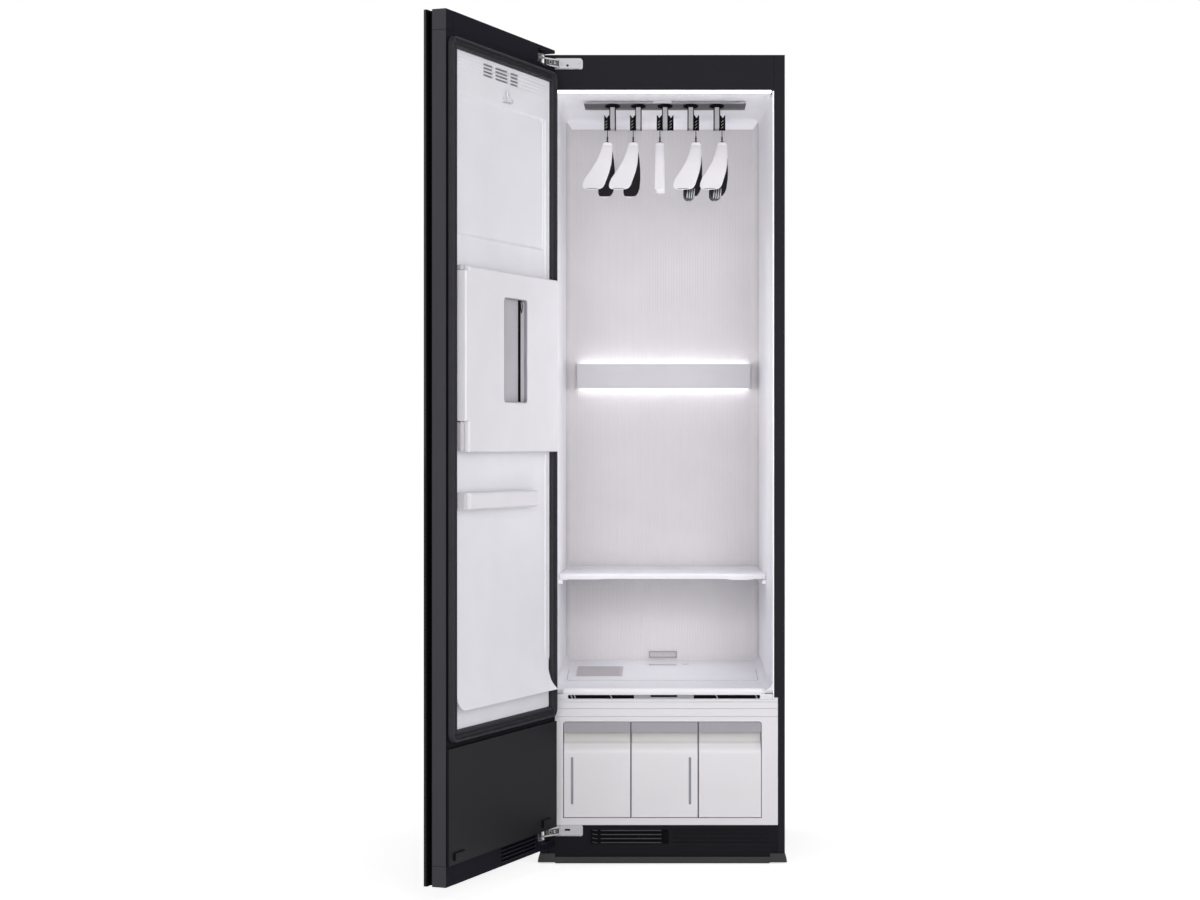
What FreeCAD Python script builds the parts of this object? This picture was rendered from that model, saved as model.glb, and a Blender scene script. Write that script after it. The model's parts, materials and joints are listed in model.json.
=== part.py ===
"""Clothes care steam cabinet: one document, one STEP file for each piece.

Millimetres. X points right, Y into the cabinet, Z up. The origin is on the floor, under the
middle of the cabinet's front plane. The door is drawn shut and then swung open about its hinge
line, because it rests open.
"""
import FreeCAD, Part
import math
import os
import re

import Sketcher
from FreeCAD import Placement, Rotation, Vector

DIMENSIONS = {
    # outer case
    "case_half": 297,
    "case_height": 1960,
    "case_depth": 536,
    "sheet_thick": 1,
    "case_floor": 16,
    "flange_upper": 271,
    "flange_lower": 281,
    "return_width": 20,
    "header_low": 1875,
    "header_depth": 64,
    "wall_thick": 3,
    "joint_gap": 0.2,
    "back_slot_low": 120,
    "back_slot_high": 240,
    "back_slot_half": 3,
    "gland_level": 120,
    "gland_radius": 9,
    # plinth, kick panel and feet
    "plinth_half": 302,
    "plinth_bar_half": 260,
    "plinth_front": -6,
    "corner_high": 24,
    "corner_depth": 50,
    "plinth_bar_high": 15.8,
    "kick_low": 16.2,
    "kick_high": 91.8,
    "kick_thick": 10,
    "vent_left": -177,
    "vent_right": 15,
    "vent_low": 46,
    "vent_high": 82,
    "vent_left_end": 24,
    "vent_right_end": 20,
    "vent_pitch": 8.4,
    "vent_gap": 5,
    "groove_pitch": 9.2,
    "groove_high": 3.5,
    "knob_radius": 7,
    "foot_x": 225,
    "foot_front_y": 50,
    "foot_rear_y": 490,
    "foot_radius": 18,
    "stem_radius": 5,
    "foot_thick": 8,
    "nut_half": 9,
    "stem_high": 36,
    "pan_high": 40,
    # steam chamber
    "mouth_half": 268,
    "rear_half": 253,
    "chamber_depth": 505,
    "chamber_low": 411,
    "chamber_high": 1873,
    "floor_level": 420,
    "floor_flat": 195,
    "apron_high": 448,
    "liner_thick": 3,
    "cove": 27,
    "backing_thick": 5,
    "felt_thick": 8,
    "grille_left": -219.5,
    "grille_right": -102.5,
    "grille_front": 265,
    "grille_back": 408,
    "grille_pitch": 15,
    "grille_gap": 8,
    "sensor_left": -35.5,
    "sensor_right": 38,
    "sensor_low": 453.5,
    "sensor_high": 471.5,
    "slot_left_end": 228,
    "slot_right_end": 236,
    "slot_floor": 398.2,
    "slot_roof": 407,
    "stem_half": 24,
    "stem_room": 46,
    "light_low": 1868,
    "light_half": 255,
    "bar_left": -224,
    "bar_right": 231,
    "bar_low": 1163.5,
    "bar_high": 1227.5,
    # shelf
    "shelf_front": 225,
    "shelf_level": 690,
    "shelf_thick": 4,
    "shelf_lip": 16,
    "shelf_play": 1.2,
    "shelf_back_gap": 5,
    "pull_left": 171,
    "pull_right": 219,
    "ledge_thick": 10,
    # lower module
    "module_half": 280,
    "module_low": 92.2,
    "module_high": 396.5,
    "shoulder_high": 401,
    "bay_half": 240.8,
    "bay_low": 109,
    "bay_high": 343,
    "bay_depth": 222,
    "divider_left": -76.5,
    "divider_right": 86.8,
    "divider_thick": 1.2,
    "tank_depth": 210,
    "tank_gap": 1.2,
    "tank_wall": 2.5,
    "tank_front": 20,
    "lid_front_low": 316,
    "lid_thick": 3,
    "scoop_radius": 26,
    "scoop_level": 292,
    "scoop_depth": 15,
    "gauge_low": 142,
    "gauge_high": 257,
    "gauge_width": 6,
    "supply_gauge": -222,
    "drain_gauge": 63.8,
    "frame_thick": 8,
    "seam_high": 1.4,
    "seam_deep": 2.5,
    "screen_low": 149,
    "screen_y": 60,
    "screen_pitch": 24,
    # hanger rail
    "rail_y": 180,
    "rail_left": -196,
    "rail_right": 209,
    "rail_low": 1853,
    "rail_high": 1867,
    "rail_depth": 24,
    "holder_width": 15,
    "holder_low": 1800.5,
    "holder_depth": 40,
    "peg_level": 1815,
    "peg_radius": 4,
    "peg_length": 11,
    "hook_radius": 7.5,
    "hook_wire": 1.7,
    # hanger
    "neck_level": 1756,
    "tip_level": 1648,
    "clip_bar_level": 1634,
    "clip_bar_radius": 2.5,
    "clip_width": 30,
    "clip_high": 30,
    "hanger_reach": 150,
    "collar_high": 18,
    "collar_radius": 6,
    # machinery behind the boxes and over the ceiling
    "shell_x": -190,
    "shell_y": 390,
    "shell_radius": 52,
    "shell_high": 150,
    "fin_y": 300,
    "fin_deep": 56,
    "fin_left": -50,
    "fin_pitch": 12,
    "pack_pitch": 90,
    "fan_x": 205,
    "fan_y": 400,
    "fan_low": 290,
    "fan_radius": 62,
    "fan_inlet": 34,
    "shaft_radius": 3,
    "boiler_left": -275,
    "boiler_right": -120,
    "boiler_front": 262,
    "boiler_back": 330,
    "boiler_low": 200,
    "boiler_high": 262,
    "pump_radius": 24,
    "pump_length": 46,
    "drive_x": 130,
    "crank_radius": 24,
    "crank_throw": 15,
    # hinge line and door
    "door_angle": 110.9,
    "hinge_x": -288.3,
    "hinge_y": -38.1,
    "door_low": 49,
    "door_high": 1964,
    "door_face": -10,
    "door_frame_back": -44,
    "door_spacer_back": -56,
    "door_glass_back": -59,
    "door_front": -64,
    "recess_edge": 279,
    "window_half": 262,
    "upper_low": 372,
    "upper_high": 1896,
    "lower_low": 100,
    "lower_high": 352,
    "liner_half": 260.5,
    "liner_low": 388,
    "liner_high": 1883,
    "gasket_half": 286,
    "gasket_inner": 261,
    "gasket_low": 362,
    "gasket_high": 1908,
    "gasket_width": 25,
    "gasket_face": -0.4,
    "hinge_high": 1938,
    "hinge_low": 79,
    "notch_half": 18,
    "notch_length": 100,
    "notch_back": -48,
    "pin_radius": 4,
    "pin_play": 0.05,
    "knuckle_radius": 6.5,
    "plate_left": -261,
    "plate_right": -193,
    "plate_half": 13.5,
    "plate_thick": 3,
    "neck_half": 9,
    "screw_near": -242,
    "screw_far": -201,
    "screw_radius": 4.5,
    "ear_high": 17.7,
    "ear_low": 14.5,
    "pin_half": 17,
    "cap_high": 46,
    "cap_wide": 36,
    "bumper_wide": 42,
    "bumper_high": 30,
    "bumper_thick": 4,
    # trouser press
    "press_left": -253,
    "press_right": 255,
    "press_low": 998,
    "press_high": 1406,
    "press_back": -6,
    "press_front": 18,
    "press_wall": 3,
    "press_axis_x": 247,
    "press_axis_y": 3,
    "press_pin": 2.5,
    "press_notch": 1066,
    "press_post": 236,
    "slot_left": -74,
    "slot_right": 53,
    "slot_low": 1111,
    "slot_high": 1348,
    "pad_face": 10,
    "base_thick": 2.4,
    "knuckle": 7,
    # tension bar and fold-out hook
    "bar_x_left": -140,
    "bar_x_right": 222,
    "clamp_low": 870,
    "clamp_high": 908,
    "clamp_back": -6,
    "clamp_front": 15,
    "clamp_axis_y": -1,
    "clamp_axis_z": 875,
    "hook_left": -32,
    "hook_right": 2,
    "clamp_bracket": 240,
    "clamp_pin": 2.5,
    "hook_low": 1800,
    "hook_top": 1828,
    "hook_axis_y": -3.6,
    "hook_axis_z": 1804.5,
    "hook_pin": 1.5,
    "lip_high": 532,
    "lip_low": 426,
    "lip_reach": 21,
    "lip_thick": 2.5,
}

HANGER_PLACES = (-124.5, -60.0, 6.8, 70.8, 136.0)
HANGER_SIDES = (-1, -1, -1, 1, 1)
CONTOURED = (True, True, False, True, True)
CLIPPED = (False, False, False, True, True)

doc = FreeCAD.newDocument("steam_cabinet")
sheet = doc.addObject("Spreadsheet::Sheet", "Dims")
nodes = []


def fill_sheet():
    """Write every driving dimension to the sheet, each with its alias."""
    for row, (alias, value) in enumerate(DIMENSIONS.items(), 1):
        sheet.set(f"A{row}", alias)
        sheet.set(f"B{row}", str(value))
        sheet.setAlias(f"B{row}", alias)
    doc.recompute()


def cell(alias):
    """The number in one cell of the sheet."""
    return float(sheet.get(alias))


def tie(value):
    """An expression that points at the sheet's cells wherever it names one."""
    def point(match):
        word = match.group()
        return "Dims." + word if word in DIMENSIONS else word
    return re.sub(r"[a-z][a-z_0-9]*", point, str(value))


# ---------------------------------------------------------------- building blocks

def block(low, high):
    """A box between two corners, whose coordinates are numbers or expressions of the cells."""
    box = doc.addObject("Part::Box", "block")
    for axis, side, lo, hi in zip("xyz", ("Length", "Width", "Height"), low, high):
        box.setExpression("Placement.Base." + axis, tie(lo))
        box.setExpression(side, tie(f"({hi}) - ({lo})"))
    return box


TURNS = {
    "z": Rotation(),
    "x": Rotation(Vector(0, 1, 0), 90),
    "y": Rotation(Vector(1, 0, 0), -90),
}


def rod(start, radius, length, along="z"):
    """A cylinder that starts at a point and runs along one axis."""
    cylinder = doc.addObject("Part::Cylinder", "rod")
    cylinder.Placement = Placement(Vector(), TURNS[along])
    for axis, value in zip("xyz", start):
        cylinder.setExpression("Placement.Base." + axis, tie(value))
    cylinder.setExpression("Radius", tie(radius))
    cylinder.setExpression("Height", tie(length))
    return cylinder


PLANES = {"xy": ("XY_Plane", "z", False), "xz": ("XZ_Plane", "y", True), "yz": ("YZ_Plane", "x", False)}


def prism(plane, corners, start, end):
    """A PartDesign body: a closed outline on one origin plane, padded from start to end."""
    role, axis, flipped = PLANES[plane]
    body = doc.addObject("PartDesign::Body", "body")
    origin_plane = [item for item in body.Origin.OriginFeatures if item.Role == role][0]
    sketch = body.newObject("Sketcher::SketchObject", "outline")
    sketch.AttachmentSupport = (origin_plane, [""])
    sketch.MapMode = "FlatFace"
    rough = [Vector(solve(a), solve(b), 0) for a, b in corners]
    count = len(rough)
    for index in range(count):
        sketch.addGeometry(Part.LineSegment(rough[index], rough[(index + 1) % count]), False)
    for index in range(count):
        sketch.addConstraint(Sketcher.Constraint("Coincident", index, 2, (index + 1) % count, 1))
    for index, corner in enumerate(corners):
        for kind, value, at in zip(("DistanceX", "DistanceY"), corner, rough[index]):
            number = sketch.addConstraint(Sketcher.Constraint(kind, -1, 1, index, 1, at))
            sketch.setExpression(f"Constraints[{number}]", tie(value))
    pad = body.newObject("PartDesign::Pad", "pad")
    pad.Profile = sketch
    pad.Reversed = flipped
    pad.setExpression("Length", tie(f"({end}) - ({start})"))
    body.setExpression("Placement.Base." + axis, tie(start))
    return body


def solve(value):
    """The number that an expression of the cells comes to."""
    probe = doc.getObject("Probe") or doc.addObject("App::FeaturePython", "Probe")
    if "Result" not in probe.PropertiesList:
        probe.addProperty("App::PropertyFloat", "Result")
    return float(probe.evalExpression(tie(value)))


def cut(base, *tools):
    """The base with the tools taken away."""
    result = doc.addObject("Part::Cut", "cut")
    result.Base = base
    result.Tool = tools[0] if len(tools) == 1 else fuse(*tools)
    return result


def fuse(*pieces):
    """One solid of several that meet."""
    result = doc.addObject("Part::MultiFuse", "fuse")
    result.Shapes = list(pieces)
    return result


def common(first, second):
    """What two solids share."""
    result = doc.addObject("Part::MultiCommon", "common")
    result.Shapes = [first, second]
    return result


def group(*pieces):
    """Separate solids of one node."""
    result = doc.addObject("Part::Compound", "group")
    result.Links = list(pieces)
    return result


def softened(base, radius, pick):
    """The base with the edges that pick chooses by their middle point rounded."""
    doc.recompute()
    chosen = []
    for number, edge in enumerate(base.Shape.Edges, 1):
        middle = edge.valueAt((edge.FirstParameter + edge.LastParameter) / 2)
        if pick(middle, edge):
            chosen.append((number, radius, radius))
    if not chosen:
        raise ValueError("no edge to round on " + base.Label)
    result = doc.addObject("Part::Fillet", "fillet")
    result.Base = base
    result.Edges = chosen
    return result


def keep(name, piece):
    """Name a finished piece that stays with the cabinet or moves from where it is drawn."""
    piece.Label = name
    nodes.append(piece)
    return piece


def keep_on_door(name, piece):
    """Name a finished piece of the door and swing it open about the hinge line."""
    leaf = group(piece) if piece.TypeId != "Part::Compound" else piece
    hinge = Vector(cell("hinge_x"), cell("hinge_y"), 0)
    leaf.Placement = Placement(Vector(), Rotation(Vector(0, 0, 1), -cell("door_angle")), hinge)
    return keep(name, leaf)


def mirrored(side, value):
    """An X coordinate on the left (side -1) or right (side 1) half."""
    return f"{side} * ({value})"


def span(side, inner, outer):
    """Low and high X between two distances from the middle, on one half."""
    if side > 0:
        return inner, outer
    return f"-({outer})", f"-({inner})"


# ---------------------------------------------------------------- outer case

def side_panel(side, name):
    """Folded steel side: wall, front flange that narrows beside the lower module, rear return."""
    def x(distance):
        return mirrored(side, distance)
    outline = [
        (x("case_half"), 0),
        (x("flange_upper"), 0),
        (x("flange_upper"), "sheet_thick"),
        (x("case_half - sheet_thick"), "sheet_thick"),
        (x("case_half - sheet_thick"), "case_depth - sheet_thick"),
        (x("case_half - return_width"), "case_depth - sheet_thick"),
        (x("case_half - return_width"), "case_depth"),
        (x("case_half"), "case_depth"),
    ]
    folded = prism("xy", outline, "case_floor", "case_height - sheet_thick")
    lo, hi = span(side, "flange_upper - 1", "flange_lower")
    step = block((lo, -1, "case_floor - 1"), (hi, "sheet_thick + 1", "shoulder_high + 0.5"))
    keep(name, cut(folded, step))


def outer_case():
    """Side, top and back sheets, the header above the chamber and the base pan."""
    side_panel(-1, "side_panel_left")
    side_panel(1, "side_panel_right")
    keep("top_panel", block(
        ("-case_half", 0, "case_height - sheet_thick"),
        ("case_half", "case_depth", "case_height")))
    back = block(
        ("-case_half + return_width + 0.5", "case_depth - sheet_thick", "case_floor"),
        ("case_half - return_width - 0.5", "case_depth", "case_height - sheet_thick"))
    slots = [
        block((f"{x} - back_slot_half", "case_depth - 5", "back_slot_low"),
              (f"{x} + back_slot_half", "case_depth + 5", "back_slot_high"))
        for x in range(-180, 181, 24) if abs(x) > 30
    ]
    gland_hole = rod((0, "case_depth - 5", "gland_level"), "gland_radius", 10, "y")
    keep("back_panel", cut(back, *slots, gland_hole))
    collar = rod((0, "case_depth", "gland_level"), "gland_radius + 4", 4, "y")
    sleeve = rod((0, "case_depth - 12", "gland_level"), "gland_radius - joint_gap", 14, "y")
    keep("cord_gland", cut(
        fuse(collar, sleeve), rod((0, "case_depth - 14", "gland_level"), "gland_radius / 2", 20, "y")))
    shell = block(
        ("-flange_upper + 0.5", 0, "header_low"),
        ("flange_upper - 0.5", "header_depth", "case_height - sheet_thick - 0.2"))
    hollow = block(
        ("-flange_upper + 0.5 + wall_thick", "wall_thick", "header_low + wall_thick"),
        ("flange_upper - 0.5 - wall_thick", "header_depth + 1", "case_height"))
    keep("front_header", cut(shell, hollow))
    pan = block(
        ("-case_half + sheet_thick + 0.2", 22, "case_floor"),
        ("case_half - sheet_thick - 0.2", "case_depth - sheet_thick - 0.2", "pan_high"))
    well = block(
        ("-case_half + 2 * sheet_thick + 0.2", "22 + sheet_thick", "case_floor + sheet_thick"),
        ("case_half - 2 * sheet_thick - 0.2", "case_depth - 2 * sheet_thick - 0.2", "pan_high + 1"))
    holes = [
        rod((x, y, "case_floor - 5"), "stem_radius + 0.3", 20)
        for x in ("-foot_x", "foot_x") for y in ("foot_front_y", "foot_rear_y")
    ]
    keep("base_pan", cut(pan, well, *holes))


def levelling_feet():
    """Four feet: a disc with a softened rim on a threaded stem that passes through the pan."""
    feet = []
    for x in ("-foot_x", "foot_x"):
        for y in ("foot_front_y", "foot_rear_y"):
            disc = rod((x, y, 0), "foot_radius", "foot_thick")
            stem = rod((x, y, 0), "stem_radius", "stem_high")
            nut = block((f"{x} - nut_half", f"{y} - nut_half", "foot_thick"),
                        (f"{x} + nut_half", f"{y} + nut_half", "case_floor"))
            feet.append(fuse(disc, nut, stem))
    keep("levelling_feet", group(*feet))


def plinth():
    """Bar along the floor and the two corner pieces that flare out beside it."""
    bar = block(("-plinth_bar_half", "plinth_front", 0), ("plinth_bar_half", 12, "plinth_bar_high"))
    pieces = [softened(bar, 2, lambda p, e: p.y < -5 and p.z > 15 and e.Length > 100)]
    for side in (-1, 1):
        def x(distance):
            return mirrored(side, distance)
        flare = [
            (x("plinth_bar_half + 0.3"), 2.5),
            (x("plinth_half - 1"), 2.5),
            (x("plinth_half"), 5),
            (x("plinth_half - 1.5"), 14),
            (x("case_half + 0.6"), "corner_high"),
            (x("plinth_bar_half + 0.3"), "corner_high"),
        ]
        solid = prism("xz", flare, "plinth_front", "corner_depth")
        lo, hi = span(side, "plinth_bar_half - 1", "case_half + 0.3")
        room = block((lo, -0.3, "plinth_bar_high"), (hi, "corner_depth + 1", "corner_high + 1"))
        pieces.append(cut(solid, room))
    keep("plinth", group(*pieces))


def kick_panel():
    """Black panel under the bays, with long grooves and a vent that has a removable slatted cover."""
    panel = block(("-flange_lower + 0.4", 0, "kick_low"), ("flange_lower - 0.4", "kick_thick", "kick_high"))
    window = block(("vent_left", -1, "vent_low"), ("vent_right", "kick_thick + 1", "vent_high"))
    rows = range(4)
    grooves = [
        block(("vent_right + 12", -1, f"vent_low + 3 + {row} * groove_pitch"),
              ("flange_lower - 22", 2, f"vent_low + 3 + groove_high + {row} * groove_pitch"))
        for row in rows
    ]
    keep("kick_panel", cut(panel, window, *grooves))
    cover = block(("vent_left + 0.4", 1, "vent_low + 0.4"), ("vent_right - 0.4", 7, "vent_high - 0.4"))
    gaps = [
        block(("vent_left + vent_left_end", -1, f"vent_low + 3 + {row} * vent_pitch"),
              ("vent_right - vent_right_end", 9, f"vent_low + 3 + vent_gap + {row} * vent_pitch"))
        for row in rows
    ]
    knob = rod(("vent_right - 9", -1, "(vent_low + vent_high) / 2"), "knob_radius", 3, "y")
    keep("kick_vent_cover", fuse(cut(cover, *gaps), knob))


# ---------------------------------------------------------------- steam chamber

def chamber_plan(inset, low, high):
    """The chamber's tapered plan as a prism, drawn in by inset on both sides."""
    outline = [
        (f"-mouth_half + {inset}", 0),
        (f"mouth_half - {inset}", 0),
        (f"rear_half - {inset}", "chamber_depth"),
        (f"-rear_half + {inset}", "chamber_depth"),
    ]
    return prism("xy", outline, low, high)


def shelf_ledge(side):
    """Ledge that stands out of one side wall and carries the shelf."""
    def x(distance):
        return mirrored(side, distance)
    ledge = [
        (x("mouth_half + 1 - 0.0297 * shelf_front"), "shelf_front + 4"),
        (x("mouth_half - 16"), "shelf_front + 4"),
        (x("rear_half - 9"), "chamber_depth - 8"),
        (x("rear_half + 1"), "chamber_depth - 8"),
    ]
    return prism("xy", ledge, "shelf_level - shelf_lip - ledge_thick", "shelf_level - shelf_lip - 0.4")


def chamber_walls():
    """Tapered side walls, the insulation behind them, the back wall and its insulation."""
    slabs = []
    walls = []
    for side in (-1, 1):
        def x(distance):
            return mirrored(side, distance)
        wall = [
            (x("mouth_half"), 0),
            (x("mouth_half + liner_thick - 0.3"), 0),
            (x("rear_half + liner_thick - 0.3"), "chamber_depth"),
            (x("rear_half"), "chamber_depth"),
        ]
        walls.append(fuse(prism("xy", wall, "module_high + 0.6", "chamber_high"), shelf_ledge(side)))
        slab = [
            (x("case_half - sheet_thick - felt_thick"), 20),
            (x("case_half - sheet_thick - 0.5"), 20),
            (x("case_half - sheet_thick - 0.5"), "chamber_depth"),
            (x("case_half - sheet_thick - felt_thick"), "chamber_depth"),
        ]
        slabs.append(prism("xy", slab, "chamber_low + 10", "chamber_high - 3"))
    keep("chamber_side_walls", group(*walls))
    slabs.append(block(
        ("-rear_half", "chamber_depth + backing_thick + 0.5", "chamber_low + 40"),
        ("rear_half", "chamber_depth + backing_thick + 0.5 + felt_thick", "chamber_high - 30")))
    keep("chamber_insulation", group(*slabs))
    keep("chamber_back_wall", block(
        ("-rear_half - liner_thick + 0.3", "chamber_depth", "module_high + 0.6"),
        ("rear_half + liner_thick - 0.3", "chamber_depth + backing_thick", "chamber_high")))


def chamber_ceiling():
    """Ceiling plate with a cove down to the back wall and a slot for the rail's stem."""
    plate = block(
        ("-mouth_half - liner_thick + 0.3", "header_depth + 2", "chamber_high + 0.2"),
        ("mouth_half + liner_thick - 0.3", "chamber_depth + backing_thick", "chamber_high + 4"))
    profile = [
        ("chamber_depth - cove", "chamber_high + 2"),
        ("chamber_depth - cove", "chamber_high + 0.2"),
        ("chamber_depth - cove * 0.62", "chamber_high - cove * 0.12"),
        ("chamber_depth - cove * 0.28", "chamber_high - cove * 0.4"),
        ("chamber_depth - 0.2", "chamber_high - cove"),
        ("chamber_depth - 0.2", "chamber_high + 2"),
    ]
    corner = prism("yz", profile, "-rear_half + 0.3", "rear_half - 0.3")
    slot = block(
        ("-stem_room", "rail_y - 8", "chamber_high - 5"), ("stem_room", "rail_y + 8", "chamber_high + 9"))
    tracks = [
        block((-70, f"rail_y + {lo}", "chamber_high + 3.8"), (70, f"rail_y + {hi}", "chamber_high + 8.7"))
        for lo, hi in ((-22, -8.5), (8.5, 22))
    ]
    keep("chamber_ceiling", fuse(cut(fuse(plate, corner), slot), *tracks))


def chamber_floor():
    """Floor tray with an upturned front lip and an apron that rises to the back wall."""
    profile = [
        (0, "chamber_low"),
        (3, "chamber_low"),
        (3, "floor_level - liner_thick"),
        ("floor_flat", "floor_level - liner_thick"),
        ("chamber_depth - 0.3", "apron_high - liner_thick"),
        ("chamber_depth - 0.3", "apron_high"),
        ("floor_flat", "floor_level"),
        (0, "floor_level"),
    ]
    tray = common(
        prism("yz", profile, "-mouth_half", "mouth_half"),
        chamber_plan(0.3, "chamber_low - 5", "apron_high + 5"))
    vent = block(("grille_left", "grille_front", 400), ("grille_right", "grille_back", 470))
    keep("chamber_floor", group(cut(tray, vent), air_slot_strip()))
    rise = "(apron_high - floor_level) / (chamber_depth - floor_flat)"
    def apron(y):
        return f"floor_level + ({y} - floor_flat) * {rise}"
    near = "grille_front + 0.4"
    far = "grille_back - 0.4"
    frame = [
        (near, apron(near) + " - 4"),
        (far, apron(far) + " - 4"),
        (far, apron(far) + " + 0.8"),
        (near, apron(near) + " + 0.8"),
    ]
    grille = prism("yz", frame, "grille_left + 0.4", "grille_right - 0.4")
    gaps = [
        block(("grille_left + 5.5", f"grille_front + 7 + {row} * grille_pitch", 400),
              ("grille_right - 5.5", f"grille_front + 7 + grille_gap + {row} * grille_pitch", 470))
        for row in range(9)
    ]
    front = "grille_back + 4"
    back = "grille_back + 18"
    nozzle = [
        (front, apron(front) + " + 0.2"),
        (back, apron(back) + " + 0.2"),
        (back, apron(back) + " + 3"),
        (front, apron(front) + " + 3"),
    ]
    sensor = block(
        ("sensor_left", "chamber_depth - 3", "sensor_low"), ("sensor_right", "chamber_depth", "sensor_high"))
    outlet = prism("yz", nozzle, "sensor_left + 0.5", "sensor_right - 2")
    keep("outlet_fittings", group(cut(grille, *gaps), outlet, sensor))


def lights():
    """Light strip under the header, and the back wall's light bar: strips behind a cover."""
    cover = block(
        ("bar_left", "chamber_depth - 26", "bar_low"), ("bar_right", "chamber_depth - 20", "bar_high"))
    keep("back_light_cover", softened(cover, 3, lambda p, e: abs(e.Length - 6) < 0.1))
    ceiling_strip = block(
        ("-light_half", 6, "light_low"), ("light_half", "header_depth", "header_low - 0.2"))
    wall_strip = block(
        ("bar_left + 12", "chamber_depth - 20", "bar_low + 8"),
        ("bar_right - 12", "chamber_depth", "bar_high - 8"))
    keep("light_strips", group(ceiling_strip, wall_strip))


def air_slot_strip():
    """White strip under the chamber floor's lip, with three stretches of air slot."""
    strip = block(
        ("-mouth_half + 1", 0, "module_high + 0.3"), ("mouth_half - 1", 26, "chamber_low - 0.3"))
    left_slot = block(("-slot_left_end", -1, "slot_floor"), ("-slot_left_end + 160", 20, "slot_roof"))
    middle_slot = block((-29, -1, "slot_floor + 3.3"), (36, 20, "slot_roof"))
    right_slot = block(("slot_right_end - 160", -1, "slot_floor"), ("slot_right_end", 20, "slot_roof"))
    return cut(strip, left_slot, middle_slot, right_slot)


def shelf():
    """Tapered shelf board with a deep front lip and a hand pull under it."""
    board = common(
        chamber_plan("shelf_play", "shelf_level - shelf_lip", "shelf_level"),
        block(("-mouth_half", "shelf_front", "shelf_level - shelf_lip"),
              ("mouth_half", "chamber_depth - shelf_back_gap", "shelf_level")))
    hollow = common(
        chamber_plan("shelf_play + 4", "shelf_level - shelf_lip - 1", "shelf_level - shelf_thick"),
        block(("-mouth_half", "shelf_front + 4", "shelf_level - shelf_lip - 2"),
              ("mouth_half", "chamber_depth + 2", "shelf_level - shelf_thick")))
    pull = block(("pull_left", "shelf_front + 4", "shelf_level - shelf_lip - 5"),
                 ("pull_right", "shelf_front + 12", "shelf_level - shelf_thick"))
    tray = softened(cut(board, hollow), 3, lambda p, e: p.y < 226 and e.Length > 400)
    keep("shelf", fuse(tray, pull))


# ---------------------------------------------------------------- lower module

def tank_bay():
    """White front frame with two raised shoulders, and a sleeve behind it for three boxes."""
    face = block(("-module_half", 0, "module_low"), ("module_half", "frame_thick", "module_high"))
    shoulders = []
    for side in (-1, 1):
        lo, hi = span(side, "flange_upper + 0.4", "module_half")
        shoulders.append(block((lo, 0, "module_high - 1"), (hi, "frame_thick", "shoulder_high")))
    sleeve = block(("-bay_half - 3", 7, "bay_low - 3"), ("bay_half + 3", "bay_depth + 3", "bay_high + 3"))
    room = block(("-bay_half", -1, "bay_low"), ("bay_half", "bay_depth", "bay_high"))
    walls = [
        block((f"{at} - divider_thick / 2", 14, "bay_low - 1"),
              (f"{at} + divider_thick / 2", "bay_depth + 1", "bay_high + 1"))
        for at in ("divider_left", "divider_right")
    ]
    steps = [
        block(("-module_half - 1", -1, level), ("module_half + 1", "seam_deep", f"{level} + seam_high"))
        for level in (354.6, 374.2, 390.2)
    ]
    keep("tank_bay_frame", fuse(cut(fuse(face, sleeve, *shoulders), room, *steps), *walls))


def pull_out_box(name, left, right, gauge_left=None):
    """One box of the bay: a hollow tub with a thick front and a scoop, and a lid with a grey apron."""
    tub = block((left, 0, "bay_low + tank_gap"), (right, "tank_depth", "bay_high - tank_gap - lid_thick"))
    inside = block(
        (f"{left} + tank_wall", "tank_front", "bay_low + tank_gap + tank_wall"),
        (f"{right} - tank_wall", "tank_depth - tank_wall", "bay_high"))
    scoop = rod((f"{left} + 3", "scoop_depth - scoop_radius", "scoop_level"),
                "scoop_radius", f"{right} - ({left}) - 6", "x")
    shade = block((f"{left} - 1", -1, "lid_front_low"), (f"{right} + 1", "lid_thick + 0.2", "bay_high"))
    tools = [inside, scoop, shade]
    if gauge_left is not None:
        tools.append(block((gauge_left, -1, "gauge_low"), (f"{gauge_left} + gauge_width", 2, "gauge_high")))
    pieces = [cut(tub, *tools)]
    if gauge_left is not None:
        pieces.append(block(
            (f"{gauge_left} + 0.2", 0.3, "gauge_low + 0.2"),
            (f"{gauge_left} + gauge_width - 0.2", 2, "gauge_high - 0.2")))
    top = block(
        (left, 0, "bay_high - tank_gap - lid_thick + 0.2"), (right, "tank_depth", "bay_high - tank_gap"))
    apron = block((left, 0, "lid_front_low + 0.4"), (right, "lid_thick", "bay_high - tank_gap"))
    cap_at = f"(({left}) + ({right})) / 2"
    port = rod((cap_at, "tank_depth - 60", "bay_high - 20"), 16, 40)
    if gauge_left is None:
        keep(name, group(*pieces, fuse(top, apron)))
        return
    keep(name, group(*pieces))
    keep(f"{name}_lid", cut(fuse(top, apron), port))


def pull_out_boxes():
    """Supply tank, drain tank and lint filter, and the filter's screen."""
    left = "divider_left + tank_gap"
    right = "divider_right + tank_gap"
    pull_out_box("water_tank", "-bay_half + tank_gap", "divider_left - tank_gap", "supply_gauge")
    pull_out_box("drain_tank", left, "divider_right - tank_gap", "drain_gauge")
    pull_out_box("lint_filter_box", right, "bay_half - tank_gap")
    screen = block((f"{right} + 4", "screen_y", "screen_low"),
                   ("bay_half - tank_gap - 4", "screen_y + 4", "bay_high - 30"))
    gaps = [
        block((f"{right} + 10 + {n} * screen_pitch", "screen_y - 1", "screen_low + 8"),
              (f"{right} + 30 + {n} * screen_pitch", "screen_y + 5", "bay_high - 38"))
        for n in range(5)
    ]
    keep("lint_screen", cut(screen, *gaps))


# ---------------------------------------------------------------- machinery

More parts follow.
